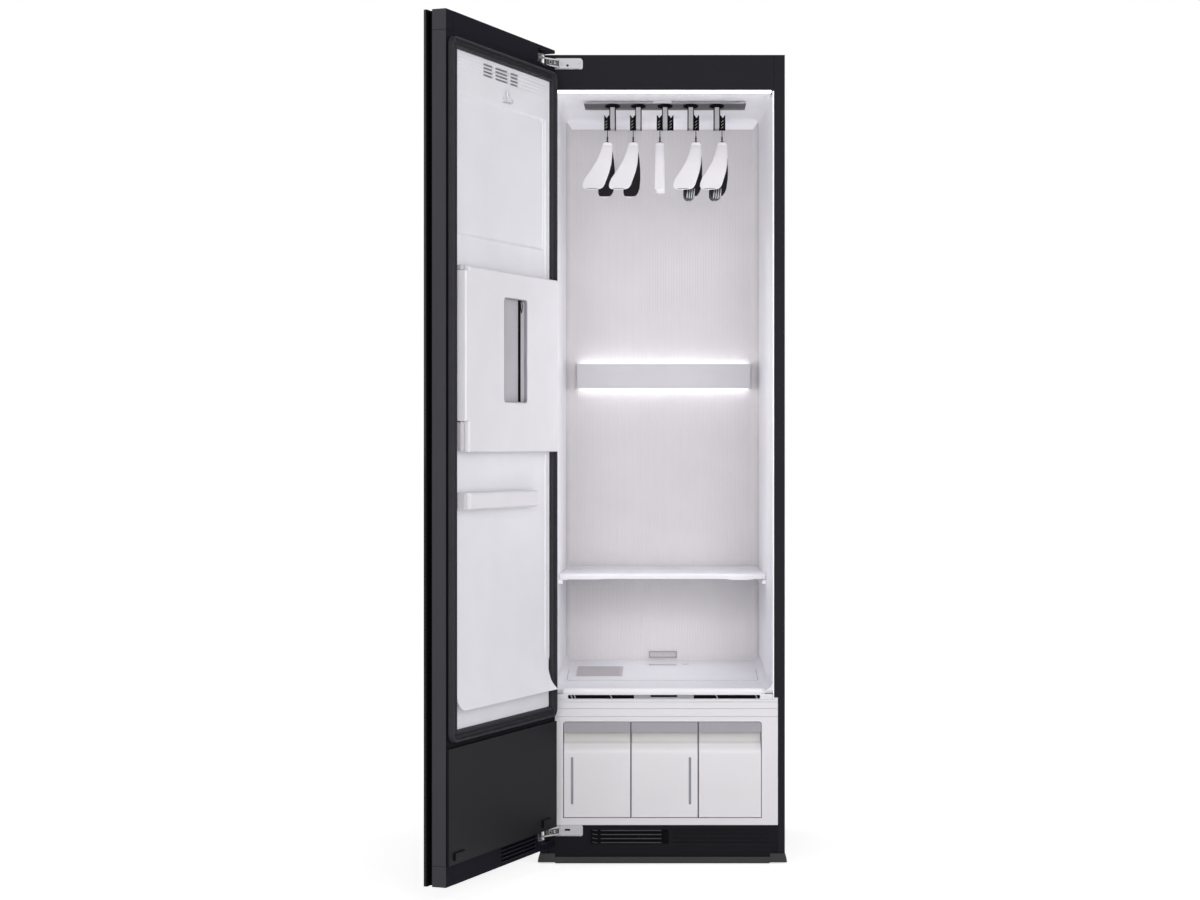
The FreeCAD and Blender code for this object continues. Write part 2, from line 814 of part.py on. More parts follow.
def compressor():
    """Sealed rotary compressor with domed ends, three feet and its suction pipe."""
    can = rod(("shell_x", "shell_y", 30), "shell_radius", "shell_high")
    shell = softened(can, 14, lambda p, e: e.Curve.TypeId == "Part::GeomCircle")
    feet = block(
        ("shell_x - 62", "shell_y - 20", "case_floor + sheet_thick + 0.2"),
        ("shell_x + 62", "shell_y + 20", 31))
    accumulator = rod(("shell_x + 78", "shell_y", 60), 22, 100)
    strap = block(("shell_x + 40", "shell_y - 6", 100), ("shell_x + 78", "shell_y + 6", 112))
    keep("compressor", fuse(shell, feet, accumulator, strap))


def heat_exchangers():
    """Evaporator and condenser: fins on straight tubes."""
    packs = []
    for start in ("fin_y", "fin_y + pack_pitch"):
        tubes = [
            rod(("fin_left - 10", f"{start} + {column} * fin_deep", level), 5, 170, "x")
            for column in (0.25, 0.75) for level in (70, 120, 170, 220)
        ]
        fins = [
            block((f"fin_left + {n} * fin_pitch", start, "pan_high + 4"),
                  (f"fin_left + 1.5 + {n} * fin_pitch", f"{start} + fin_deep", 250))
            for n in range(13)
        ]
        plates = [
            block((f"fin_left + {at}", start, "case_floor + sheet_thick"),
                  (f"fin_left + {at + 2}", f"{start} + fin_deep", 256))
            for at in (-9, 157)
        ]
        packs.append(fuse(*tubes, *fins, *plates))
    keep("heat_exchangers", group(*packs))


def blower():
    """Centrifugal blower that drives the chamber's air: housing, wheel and motor."""
    x, y, low = "fan_x", "fan_y", "fan_low"
    case = fuse(
        rod((x, y, low), "fan_radius", 56),
        block(("fan_x - fan_radius", y, low), (x, "fan_y + 90", "fan_low + 56")))
    room = fuse(
        rod((x, y, "fan_low + 3"), "fan_radius - 3", 50),
        block(("fan_x - fan_radius + 3", y, "fan_low + 3"), ("fan_x - 10", "fan_y + 91", "fan_low + 53")))
    inlet = rod((x, y, "fan_low - 1"), "fan_inlet", 10)
    mouth = rod((x, y, "fan_low + 50"), "fan_inlet", 10)
    duct = cut(
        block(
            ("grille_left - 2.5", "grille_front + 3", 300),
            ("grille_right + 2.5", "grille_back - 4", 422.2)),
        block(("grille_left + 0.5", "grille_front + 6", 295), ("grille_right - 0.5", "grille_back - 7", 425)))
    keep("air_ducts", group(cut(case, room, inlet, mouth), duct))
    hub = fuse(rod((x, y, "fan_low + 8"), 46, 3), rod((x, y, "fan_low + 8"), 9, 36))
    blades = [blower_blade(360 * n / 16) for n in range(16)]
    bore = rod((x, y, low), "shaft_radius + pin_play", 60)
    keep("blower_wheel", cut(fuse(hub, *blades), bore))
    motor = rod((x, y, "fan_low - 62"), 30, 56)
    shaft = rod((x, y, "fan_low - 8"), "shaft_radius", 50)
    bracket = block(("fan_x - 46", "fan_y - 8", "fan_low - 66"), ("fan_x + 46", "fan_y + 8", "fan_low - 62"))
    legs = [
        block(
            (f"fan_x + {at}", "fan_y - 8", "case_floor + sheet_thick"),
            (f"fan_x + {at + 4}", "fan_y + 8", low))
        for at in (-46, 42)
    ]
    keep("blower_motor", fuse(motor, shaft, bracket, *legs))


def blower_blade(angle):
    """One blade of the wheel, standing on its disc near the rim."""
    blade = doc.addObject("Part::Box", "blade")
    blade.Length = 11
    blade.Width = 1.6
    blade.Height = 34
    turn = Rotation(Vector(0, 0, 1), angle)
    foot = Vector(cell("fan_x"), cell("fan_y"), cell("fan_low") + 10)
    blade.Placement = Placement(foot + turn.multVec(Vector(cell("fan_inlet"), 0, 0)), turn)
    return blade


def steam_and_water():
    """Steam generator on its stands, the supply and drain pumps, and the control board."""
    boiler = block(
        ("boiler_left", "boiler_front", "boiler_low"),
        ("boiler_right", "boiler_back", "boiler_high"))
    middle = "(boiler_front + boiler_back) / 2"
    ports = fuse(*(
        rod((at, middle, "boiler_high - 7"), 8, 30) for at in ("boiler_left + 25", "boiler_right - 30")))
    stands = [
        block((at, "boiler_front + 18", "case_floor + sheet_thick"),
              (f"{at} + 3", "boiler_back - 18", "boiler_low + 1"))
        for at in ("boiler_left + 13", "boiler_right - 16")
    ]
    tall = cell("boiler_high") - cell("boiler_low")
    tank = softened(boiler, 8, lambda p, e: abs(e.Length - tall) < 0.1)
    pieces = [fuse(tank, ports, *stands)]
    for x in (140, 240):
        body = rod((x, "boiler_front", 70), "pump_radius", "pump_length", "y")
        foot = block((x - 20, "boiler_front + 4", "case_floor + sheet_thick + 0.2"),
                     (x + 20, "boiler_front + 38", 62))
        pieces.append(fuse(body, foot))
    keep("steam_generator_and_pumps", group(*pieces))
    board = block((-120, 300, "chamber_high + 4"), (120, 470, "chamber_high + 8"))
    tall_parts = [
        block((x, 320, "chamber_high + 7"), (x + 30, 360, "chamber_high + 40")) for x in (-100, -40, 20)
    ]
    keep("control_board", fuse(board, *tall_parts))


# ---------------------------------------------------------------- hanger rail

def hanger_rail():
    """Rail bar with a stem through the ceiling, and the motor and crank that shake it."""
    bar = [
        ("rail_left + 3", "rail_low"),
        ("rail_right - 3", "rail_low"),
        ("rail_right", "rail_high"),
        ("rail_left", "rail_high"),
    ]
    rail = prism("xz", bar, "rail_y - rail_depth / 2", "rail_y + rail_depth / 2")
    stem = block(
        ("-stem_half", "rail_y - 6", "rail_low + 4"),
        ("stem_half", "rail_y + 6", "chamber_high + 12"))
    head = block(
        ("-stem_half - 6", "rail_y - 14", "chamber_high + 9"),
        ("stem_half + 6", "rail_y + 14", "chamber_high + 15"))
    arm = block((20, "rail_y - 4", "chamber_high + 11"), ("drive_x + 22", "rail_y + 4", "chamber_high + 15"))
    keep("hanger_rail", fuse(rail, stem, head, arm))
    motor = block(
        ("drive_x - 30", "rail_y + 28", "chamber_high + 4"),
        ("drive_x + 30", "rail_y + 98", "chamber_high + 50"))
    cheek = block(
        ("drive_x - 30", "rail_y - 24", "chamber_high + 40"),
        ("drive_x + 30", "rail_y + 30", "chamber_high + 44"))
    shaft = rod(("drive_x", "rail_y", "chamber_high + 22"), 4, 20)
    keep("rail_drive_motor", fuse(motor, cheek, shaft))
    disc = rod(("drive_x", "rail_y", "chamber_high + 26"), "crank_radius", 6)
    pin = rod(("drive_x + crank_throw", "rail_y", "chamber_high + 17"), 3, 10)
    bore = rod(("drive_x", "rail_y", "chamber_high + 20"), 4.05, 20)
    keep("rail_crank", cut(fuse(disc, pin), bore))


def hanger_holders():
    """Five holders under the rail, each with a side peg behind a cheek; the middle one has two."""
    bodies = []
    for place, side in zip(HANGER_PLACES, HANGER_SIDES):
        half = "holder_width / 2"
        body = block(
            (f"{place} - {half}", "rail_y - holder_depth / 2", "holder_low"),
            (f"{place} + {half}", "rail_y + holder_depth / 2", "rail_low"))
        pieces = [body]
        for one in ((-1, 1) if place == HANGER_PLACES[2] else (side,)):
            pieces += peg_and_cheek(place, one)
        bodies.append(fuse(*pieces))
    keep("hanger_holders", group(*bodies))


def peg_and_cheek(place, side):
    """Peg that a hook hangs on, the cheek that guards its end and the floor that joins them."""
    def x(distance):
        return f"{place} + {side} * ({distance})"
    near = "holder_width / 2 - 0.5"
    far = "holder_width / 2 + peg_length"
    lo, hi = (near, far) if side > 0 else (far, near)
    peg = rod((x(lo), "rail_y", "peg_level"), "peg_radius", f"{side} * ({hi} - ({lo}))", "x")
    near_cheek = "holder_width / 2 + peg_length"
    far_cheek = "holder_width / 2 + peg_length + 3"
    lo, hi = (near_cheek, far_cheek) if side > 0 else (far_cheek, near_cheek)
    cheek = block((x(lo), "rail_y - 10", "holder_low"), (x(hi), "rail_y + 10", "peg_level + 22"))
    return [peg, cheek]


def loft(stations):
    """A smooth limb through ellipses: each has a centre, two half axes and a lean about X."""
    rings = []
    for centre, across, deep, lean in stations:
        ring = doc.addObject("Part::Ellipse", "ring")
        ring.MajorRadius = max(across, deep)
        ring.MinorRadius = min(across, deep)
        spin = Rotation(Vector(0, 0, 1), 0 if across >= deep else 90)
        ring.Placement = Placement(Vector(*centre), Rotation(Vector(1, 0, 0), lean) * spin)
        rings.append(ring)
    limb = doc.addObject("Part::Loft", "limb")
    limb.Sections = rings
    limb.Solid = True
    return limb


def hangers():
    """Five hangers: a steel hook, a collar and a body whose two shoulders run front and back."""
    for number, place in enumerate(HANGER_PLACES):
        side = HANGER_SIDES[number]
        x = place + side * (cell("holder_width") + cell("peg_length")) / 2
        y = cell("rail_y")
        limbs = [shoulder(x, y, way, CONTOURED[number]) for way in (-1, 1)]
        collar = rod((x, y, "neck_level"), "collar_radius", "collar_high")
        pieces = [fuse(*limbs, collar), wire_hook(x, y, cell("neck_level") + cell("collar_high"))]
        if CLIPPED[number]:
            pieces.append(trouser_clips(x, y))
        keep(f"hanger_{number + 1}", group(*pieces))


def shoulder(x, y, way, contoured):
    """One shoulder of a hanger, running from the neck to the front (way -1) or the back (way 1)."""
    reach = cell("hanger_reach")
    neck = cell("neck_level")
    fall = neck - cell("tip_level")
    stations = []
    for along, drop, bend, broad, deep, lean in (
            (-0.08, 0, 0, 13, 15, 90),
            (0.28, 0.2, 1.5, 14, 15, 70),
            (0.68, 0.62, 8, 18, 15, 55),
            (1.0, 1.0, 21, 20, 9, 45)):
        sway = 12 * way * along - bend if contoured else 0
        across = broad if contoured else 11
        centre = (x + sway, y + way * reach * along, neck - fall * drop + 3 * way * along)
        stations.append((centre, across, deep, way * lean))
    return loft(stations)


def wire_hook(x, y, foot):
    """Round-wire hook: a stem up from the hanger's collar and a bend over the peg."""
    wire = cell("hook_wire")
    bend = cell("hook_radius")
    middle = cell("peg_level") + cell("peg_radius") + 0.3 + wire - bend
    ring = doc.addObject("Part::Torus", "bend")
    ring.setExpression("Radius1", tie("hook_radius"))
    ring.setExpression("Radius2", tie("hook_wire"))
    ring.Angle3 = 285
    ring.Placement = Placement(Vector(x, y, middle), Rotation(Vector(0, 1, 0), 90))
    return fuse(ring, rod((x, y, foot), "hook_wire", middle - bend - foot + wire / 2))


def trouser_clips(x, y):
    """Bar under the shoulders with two sprung clips that grip trousers; the rear one is turned up."""
    bar = rod((x - 17, y - 105, "clip_bar_level"), "clip_bar_radius", 185, "y")
    clips = [
        block(
            (x - 31, y + at, f"clip_bar_level + {low}"),
            (x - 4, f"{y + at} + clip_width", f"clip_bar_level + {low} + clip_high"))
        for at, low in ((-115, -18), (60, -2))
    ]
    posts = [
        block((x - 19, y + at, "clip_bar_level - 2"), (x - 15, y + at + 4, "clip_bar_level + 46"))
        for at in (-70, 56)
    ]
    return fuse(bar, *clips, *posts)


# ---------------------------------------------------------------- door

def hinge(level, hole):
    """One hinge: plate and gooseneck arm for the cabinet, cup with two ears and a pin for the door."""
    plate = block(
        ("plate_left", "-plate_thick", f"{level} - plate_half"), ("plate_right", 0, f"{level} + plate_half"))
    plate = softened(plate, 7, lambda p, e: p.x > cell("plate_right") - 1 and abs(e.Length - 3) < 0.1)
    neck = [
        ("plate_left + 14", "-plate_thick + 0.5"),
        ("plate_left", "-plate_thick + 0.5"),
        ("hinge_x - 4", "hinge_y + 3"),
        ("hinge_x + 3", "hinge_y - 4"),
        ("plate_left + 8", "-plate_thick - 6"),
    ]
    arm = prism("xy", neck, f"{level} - neck_half", f"{level} + neck_half")
    ring = rod(("hinge_x", "hinge_y", f"{level} - neck_half"), "knuckle_radius", "2 * neck_half")
    bore = rod(("hinge_x", "hinge_y", f"{level} - 20"), "pin_radius + pin_play", 40)
    gooseneck = cut(fuse(cut(plate, hole), arm, ring), bore)
    cup = block(
        ("-case_half + 0.8", "notch_back + 0.3", f"{level} - notch_half + 0.3"),
        ("-case_half + notch_length - 8", "notch_back + 2.3", f"{level} + notch_half - 0.3"))
    ears = [
        block(("-case_half + 0.8", "notch_back + 0.3", f"{level} + ({lo})"),
              ("-case_half + 60", "hinge_y + 7", f"{level} + {hi}"))
        for lo, hi in (("-ear_high", "-ear_low"), ("ear_low", "ear_high"))
    ]
    pin = rod(("hinge_x", "hinge_y", f"{level} - pin_half"), "pin_radius", "2 * pin_half")
    return gooseneck, fuse(cup, *ears, pin)


def hinges():
    """The two hinges and four screw heads, two on each plate."""
    round_hole = rod((-230, "-plate_thick - 1", "hinge_high - 4"), 3, 6, "y")
    long_hole = block((-237, "-plate_thick - 1", "hinge_low"), (-223, 1, "hinge_low + 4"))
    arms, cups = zip(hinge("hinge_high", round_hole), hinge("hinge_low", long_hole))
    keep("hinge_arms", group(*arms))
    keep_on_door("hinge_cups", group(*cups))
    heads = [
        rod((x, "-plate_thick - 2.2", level), "screw_radius", 2, "y")
        for level in ("hinge_high", "hinge_low") for x in ("screw_near", "screw_far")
    ]
    keep("hinge_screws", group(*heads))


def hinge_notch(level):
    """Pocket in the door's hinge edge that the gooseneck swings through."""
    return block(
        ("-case_half - 1", "notch_back", f"{level} - notch_half"),
        ("-case_half + notch_length", "door_face + 1", f"{level} + notch_half"))


def door_shell():
    """Glass front, its backing, the spacer that leaves the finger gap, and the deep frame."""
    keep_on_door("door_glass", block(
        ("-case_half", "door_front", "door_low"), ("case_half", "door_glass_back", "door_high")))
    backing = block(
        ("-case_half", "door_glass_back", "door_low"), ("case_half", "door_spacer_back", "door_high"))
    rim = block(
        ("-case_half", "door_spacer_back", "door_low"), ("recess_edge", "door_frame_back", "door_high"))
    notches = [hinge_notch(level) for level in ("hinge_high", "hinge_low")]
    rim_window = block(
        ("-case_half + 20", "door_spacer_back - 1", "door_low + 20"),
        ("recess_edge - 20", "door_frame_back + 1", "door_high - 20"))
    keep_on_door("door_spacer", fuse(backing, cut(rim, rim_window, *notches)))
    slab = block(
        ("-case_half", "door_frame_back", "door_low"), ("case_half", "door_face", "door_high"))
    windows = [
        block(("-window_half", "door_frame_back - 1", low), ("window_half", "door_face + 1", high))
        for low, high in (("upper_low", "upper_high"), ("lower_low", "lower_high"))
    ]
    notches = [hinge_notch(level) for level in ("hinge_high", "hinge_low")]
    corners = [
        block(("case_half - cap_wide", "door_frame_back - 1", low), ("case_half + 1", "door_face + 1", high))
        for low, high in (("door_low - 1", "door_low + cap_high"), ("door_high - cap_high", "door_high + 1"))
    ]
    vents = [
        block(("vent_left - 5", "door_face - 7", f"door_low + 10 + {9 * row}"),
              ("vent_right - 5", "door_face + 3", f"door_low + 15 + {9 * row}"))
        for row in range(4)
    ]
    keep_on_door("door_frame", cut(slab, *windows, *notches, *corners, *vents))
    caps = [
        block(("case_half - cap_wide + 0.2", "door_frame_back + 0.1", low), ("case_half", "door_face", high))
        for low, high in (
            ("door_low", "door_low + cap_high - 0.2"), ("door_high - cap_high + 0.2", "door_high"))
    ]
    keep_on_door("door_caps_and_bumpers", group(*caps, *door_bumpers()))
    keep_on_door("door_insulation", group(
        block(("-window_half + 1", -27, "upper_low + 1"), ("window_half - 1", -15, "upper_high - 1")),
        block(("-window_half + 1", -27, "lower_low + 1"), ("window_half - 1", -15, "lower_high - 1"))))


def door_lower():
    """Flat panel over the frame's lower window."""
    keep_on_door("door_lower_panel", block(
        ("-window_half + 0.3", "door_face - 3.5", "lower_low + 0.3"),
        ("window_half - 0.3", "door_face - 0.2", "lower_high - 0.3")))


def door_bumpers():
    """Two hooked rubber bumpers at the foot of the door's inner face."""
    return [
        cut(block((x, "door_face", low),
                  (f"{x} + bumper_wide", "door_face + bumper_thick", f"{low} + bumper_high")),
            block((x + cut_from, "door_face - 1", low - 1),
                  (x + cut_to, "door_face + bumper_thick + 1", f"{low} + bumper_high - 9")))
        for x, low, cut_from, cut_to in ((-286, 102, 9, 43), (244, 96, -1, 33))
    ]


def door_liner():
    """White liner with rows of vent slots near its top, and the curved drip lip near its foot."""
    sheet_block = block(
        ("-liner_half", "door_face - 4", "liner_low"), ("liner_half", "door_face", "liner_high"))
    slots = [
        block((left, "door_face - 5", 1845.5 + 8 * row), (right, "door_face + 1", 1849 + 8 * row))
        for row in range(4) for left, right in ((51, 104), (-31, 40), (-87, -42))
    ]
    keep_on_door("door_liner", group(cut(sheet_block, *slots), drip_lip()))
    ring = block(("-gasket_half", "door_face", "gasket_low"), ("gasket_half", "gasket_face", "gasket_high"))
    inside = block(
        ("-gasket_inner", "door_face - 1", "gasket_low + gasket_width"),
        ("gasket_inner", "gasket_face + 1", "gasket_high - gasket_width"))
    keep_on_door("door_gasket", cut(ring, inside))


def drip_lip():
    """Curved lip that leaves the liner upright and flares out to its free edge."""
    high = cell("lip_high")
    fall = high - cell("lip_low")
    reach = cell("lip_reach")
    thick = cell("lip_thick")
    face = cell("door_face")
    radius = (reach ** 2 + fall ** 2) / (2 * reach)
    sweep = math.asin(fall / radius)
    start = math.acos(radius / (radius + thick))

    def at(distance, angle):
        return Vector(-246, face + radius - distance * math.cos(angle), high - distance * math.sin(angle))
    outer = radius + thick
    edges = [
        Part.Arc(at(radius, 0), at(radius, sweep / 2), at(radius, sweep)).toShape(),
        Part.LineSegment(at(radius, sweep), at(outer, sweep)).toShape(),
        Part.Arc(at(outer, sweep), at(outer, (start + sweep) / 2), at(outer, start)).toShape(),
        Part.LineSegment(at(outer, start), at(radius, 0)).toShape(),
    ]
    lip = doc.addObject("Part::Feature", "lip")
    lip.Shape = Part.Face(Part.Wire(edges)).extrude(Vector(507, 0, 0))
    return lip


def trouser_press():
    """Press panel on a vertical pin line, its pad, the base on the liner and the hinge blocks."""
    shell = block(("press_left", "press_back", "press_low"), ("press_right", "press_front", "press_high"))
    shell = softened(shell, 7, lambda p, e: p.x > 254 and p.y > 17 and e.Length > 300)
    room = block(
        ("press_left + press_wall", "press_back - 1", "press_low + press_wall"),
        ("press_post", "press_front - press_wall", "press_high - press_wall"))
    slot = block(("slot_left", 0, "slot_low"), ("slot_right", "press_front + 1", "slot_high"))
    notch = block(
        ("press_post", "press_back - 1", "press_low - 1"),
        ("press_right + 1", "press_front + 1", "press_notch"))
    cap = block(
        ("press_post", "press_back - 1", "press_high - 9"),
        ("press_right + 1", "press_front + 1", "press_high + 1"))
    bore = rod(("press_axis_x", "press_axis_y", "press_notch - 1"), "press_pin + pin_play", 400)
    keep_on_door("press_panel", cut(shell, room, slot, notch, cap, bore))
    keep_on_door("press_pad", block(
        ("press_left + press_wall + 1", "press_back + 0.4", "press_low + press_wall + 1"),
        ("press_post - 1", "pad_face", "press_high - press_wall - 1")))
    blocks = [block(("press_left + 13", "door_face", "press_low + 12"),
                    ("press_post - 10", "door_face + base_thick", "press_high - 12"))]
    for low, high, pin_low in (
            ("press_low + 3", "press_notch - 3", "press_notch - 4"),
            ("press_high - 8", "press_high + 2", "press_high - 40")):
        knuckle = rod(("press_axis_x", "press_axis_y", low), "knuckle", f"{high} - ({low})")
        foot = block((241, "door_face", low), (253, "press_axis_y", high))
        pin = rod(("press_axis_x", "press_axis_y", pin_low), "press_pin", 36)
        blocks.append(fuse(knuckle, foot, pin))
    keep_on_door("press_base", group(*blocks))


def tension_bar():
    """Bar that holds the trouser legs, on two pins between its brackets."""
    bar = block(("bar_x_left", "clamp_back", "clamp_low"), ("bar_x_right", "clamp_front", "clamp_high"))
    bar = softened(bar, 4, lambda p, e: p.y > 14 and e.Length > 300)
    bore = rod(("bar_x_left - 1", "clamp_axis_y", "clamp_axis_z"), "clamp_pin + pin_play", 400, "x")
    keep_on_door("tension_bar", cut(bar, bore))
    right = fuse(
        block(("bar_x_right + 0.4", "door_face", "clamp_low"), ("clamp_bracket", 6, "clamp_high")),
        rod(("bar_x_right - 14", "clamp_axis_y", "clamp_axis_z"), "clamp_pin", 16, "x"))
    left = fuse(
        block(("bar_x_left - 10", "door_face", "clamp_low"), ("bar_x_left - 0.4", 6, "clamp_low + 14")),
        rod(("bar_x_left - 2", "clamp_axis_y", "clamp_axis_z"), "clamp_pin", 16, "x"))
    return [left, right]


def fold_out_hook():
    """Small loop that folds out of its base to take a trouser hanger."""
    y, z = "hook_axis_y", "hook_axis_z"
    ears = [
        block((lo, "door_face", "hook_low"), (hi, -1, "hook_low + 9"))
        for lo, hi in (("hook_left - 4", "hook_left - 0.5"), ("hook_right + 0.5", "hook_right + 4"))
    ]
    base = block(
        ("hook_left - 4", "door_face", "hook_low - 2"), ("hook_right + 4", "door_face + 2", "hook_low + 0.5"))
    pin = rod(("hook_left - 2", y, z), "hook_pin", 38, "x")
    plate = block(("hook_left", "hook_axis_y - 2.8", "hook_axis_z - 2.8"), ("hook_right", -0.8, "hook_top"))
    window = block(("hook_left + 6", -8, "hook_axis_z + 6"), ("hook_right - 6", 1, "hook_top - 4"))
    bore = rod(("hook_left - 8", y, z), "hook_pin + pin_play", 60, "x")
    keep_on_door("fold_hook", cut(plate, window, bore))
    return fuse(base, *ears, pin)


def check_and_write():
    """Stop on any failed object or bad shape, then write one STEP file for each piece."""
    doc.recompute()
    for item in doc.Objects:
        if "Invalid" in item.State or "Error" in item.State:
            raise RuntimeError(f"{item.Name} ({item.Label}) failed: {item.State}")
    os.makedirs("parts", exist_ok=True)
    for piece in nodes:
        if piece.Shape.isNull() or not piece.Shape.isValid():
            raise RuntimeError(piece.Label + " has a bad shape")
        piece.Shape.exportStep(os.path.join("parts", piece.Label + ".step"))
        box = piece.Shape.BoundBox
        print(f"{piece.Label:24s} {len(piece.Shape.Solids)} "
              f"x {box.XMin:7.1f} {box.XMax:7.1f}  y {box.YMin:7.1f} {box.YMax:7.1f}  "
              f"z {box.ZMin:7.1f} {box.ZMax:7.1f}  {piece.Shape.Volume / 1000:9.1f} cm3")
    print(len(nodes), "nodes")


fill_sheet()
outer_case()
levelling_feet()
plinth()
kick_panel()
chamber_walls()
chamber_ceiling()
chamber_floor()
lights()
shelf()
tank_bay()
pull_out_boxes()
compressor()
heat_exchangers()
blower()
steam_and_water()
hanger_rail()
hanger_holders()
hangers()
hinges()
door_shell()
door_lower()
door_liner()
trouser_press()
keep_on_door("door_brackets", group(*tension_bar(), fold_out_hook()))
check_and_write()
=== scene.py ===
"""Looks of the clothes care steam cabinet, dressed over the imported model.

Lengths are millimetres, and MM turns them into metres; the camera, the floor, the lamps and the depth of a
bump are given in metres. Colours are screen values from 0 to 255. X points right, Y into the cabinet, Z up.
Pieces of the door are drawn with the door shut and then placed by DOOR_OPEN, because the door rests open.
"""
import json
import math

import bmesh
import bpy
from mathutils import Matrix, Vector

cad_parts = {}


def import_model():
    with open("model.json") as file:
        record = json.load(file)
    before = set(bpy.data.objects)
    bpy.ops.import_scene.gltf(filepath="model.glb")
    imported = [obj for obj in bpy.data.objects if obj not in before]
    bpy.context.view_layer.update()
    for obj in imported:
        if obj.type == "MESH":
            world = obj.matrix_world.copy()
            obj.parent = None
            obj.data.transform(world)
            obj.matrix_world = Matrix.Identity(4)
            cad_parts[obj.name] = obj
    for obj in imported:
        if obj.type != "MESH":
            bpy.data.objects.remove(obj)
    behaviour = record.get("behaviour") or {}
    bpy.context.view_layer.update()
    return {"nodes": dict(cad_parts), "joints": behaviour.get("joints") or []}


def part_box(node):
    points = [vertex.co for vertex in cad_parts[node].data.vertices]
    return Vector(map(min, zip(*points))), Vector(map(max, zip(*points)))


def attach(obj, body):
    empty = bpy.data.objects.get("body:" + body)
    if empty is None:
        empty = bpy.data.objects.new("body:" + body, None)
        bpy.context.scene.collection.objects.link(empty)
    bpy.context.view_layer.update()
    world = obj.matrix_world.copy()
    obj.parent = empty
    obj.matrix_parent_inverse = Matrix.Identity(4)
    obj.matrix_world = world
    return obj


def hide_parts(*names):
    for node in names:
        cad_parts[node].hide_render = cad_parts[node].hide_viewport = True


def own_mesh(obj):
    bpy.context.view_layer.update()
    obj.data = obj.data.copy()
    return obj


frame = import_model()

MM = 0.001
SCENE = bpy.context.scene
JOINTS = {joint["name"]: joint for joint in frame["joints"]}
DOOR_BODIES = ("door", "press", "trouser_bar", "trouser_hook")


# ---------------------------------------------------------------- places read from the frame

def door_open_matrix():
    """Turns what is drawn on the shut door into its place on the open door."""
    swing = JOINTS["door_swing"]
    line = Matrix.Translation(Vector(swing["pos_m"]))
    turn = Matrix.Rotation(-math.radians(swing["range_deg"][1]), 4, "Z")
    return line @ turn @ line.inverted()


DOOR_OPEN = door_open_matrix()


def box(node):
    """Lowest and highest corner of a CAD node at rest, in millimetres."""
    low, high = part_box(node)
    return low / MM, high / MM


def door_box(node):
    """The same for a node of the door, measured with the door shut."""
    back = DOOR_OPEN.inverted()
    points = [back @ vertex.co / MM for vertex in frame["nodes"][node].data.vertices]
    low = Vector(min(point[axis] for point in points) for axis in range(3))
    high = Vector(max(point[axis] for point in points) for axis in range(3))
    return low, high


# ---------------------------------------------------------------- materials

def srgb(red, green, blue):
    """A colour given as 0 to 255 screen values, in Blender's linear light."""
    def linear(value):
        value /= 255
        return value / 12.92 if value <= 0.04045 else ((value + 0.055) / 1.055) ** 2.4
    return linear(red), linear(green), linear(blue), 1.0


def settle(node, values):
    """Give a node's sockets or settings their values; _ in a key stands for the space in a socket's name."""
    for key, value in values.items():
        socket = key.replace("_", " ")
        if socket in node.inputs:
            node.inputs[socket].default_value = value
        else:
            setattr(node, key, value)
    return node


def shader(name, **values):
    """A new node material and its Principled shader."""
    material = bpy.data.materials.new(name)
    material.use_nodes = True
    return material, settle(material.node_tree.nodes["Principled BSDF"], values)


def add_node(material, kind, **values):
    return settle(material.node_tree.nodes.new(kind), values)


def link(material, source, output, target, socket):
    material.node_tree.links.new(source.outputs[output], target.inputs[socket])


def noise(material, scale, detail=2, stretch=(1, 1, 1)):
    """Noise over the object's own coordinates; scale counts per metre."""
    where = add_node(material, "ShaderNodeTexCoord")
    mapping = add_node(material, "ShaderNodeMapping", Scale=stretch)
    texture = add_node(material, "ShaderNodeTexNoise", Scale=scale, Detail=detail)
    link(material, where, "Object", mapping, "Vector")
    link(material, mapping, "Vector", texture, "Vector")
    return texture


def tint(material, base, texture, color, drift):
    """Drive the base colour between a little darker and a little lighter than color."""
    ramp = add_node(material, "ShaderNodeValToRGB")
    for element, place, gain in zip(ramp.color_ramp.elements, (0.3, 0.7), (1 - drift, 1 + drift)):
        element.color = (*(min(1.0, channel * gain) for channel in color[:3]), 1)
        element.position = place
    link(material, texture, "Fac", ramp, "Fac")
    link(material, ramp, "Color", base, "Base Color")


def ranged(material, source, output, low, high):
    """A node that turns 0 to 1 into low to high."""
    span = add_node(material, "ShaderNodeMapRange", To_Min=low, To_Max=high)
    link(material, source, output, span, "Value")
    return span


def vary_roughness(material, base, texture, low, high):
    link(material, ranged(material, texture, "Fac", low, high), "Result", base, "Roughness")


def roughen(material, base, texture, depth):
    """Bump of the given depth in metres."""
    bump = add_node(material, "ShaderNodeBump", Strength=1.0, Distance=depth)
    link(material, texture, "Fac", bump, "Height")
    link(material, bump, "Normal", base, "Normal")


def grained(material, base, scale, rough, depth, detail=2, stretch=(1, 1, 1)):
    """Fine noise that moves the roughness between two values and raises a bump."""
    fine = noise(material, scale, detail, stretch)
    vary_roughness(material, base, fine, *rough)
    roughen(material, base, fine, depth)
    return fine


def moulded(name, color, rough=0.4, grain=2400, depth=0.00002, drift=0.02, coat=0.0, shine=0.5):
    """Moulded plastic: fine grain, faint colour drift and a roughness that wanders a little."""
    material, base = shader(name, Specular_IOR_Level=shine, Coat_Weight=coat, Coat_Roughness=0.15)
    tint(material, base, noise(material, 9), srgb(*color), drift)
    grained(material, base, grain, (rough - 0.05, rough + 0.06), depth)
    return material


def metal(name, color, rough, grain, depth=0.00001, stretch=(1, 1, 1)):
    """Bare or plated metal, brushed along an axis where stretch is uneven."""
    material, base = shader(name, Metallic=1.0)
    streaks = grained(material, base, grain, (rough - 0.06, rough + 0.08), depth, 4, stretch)
    tint(material, base, streaks, srgb(*color), 0.06)
    return material


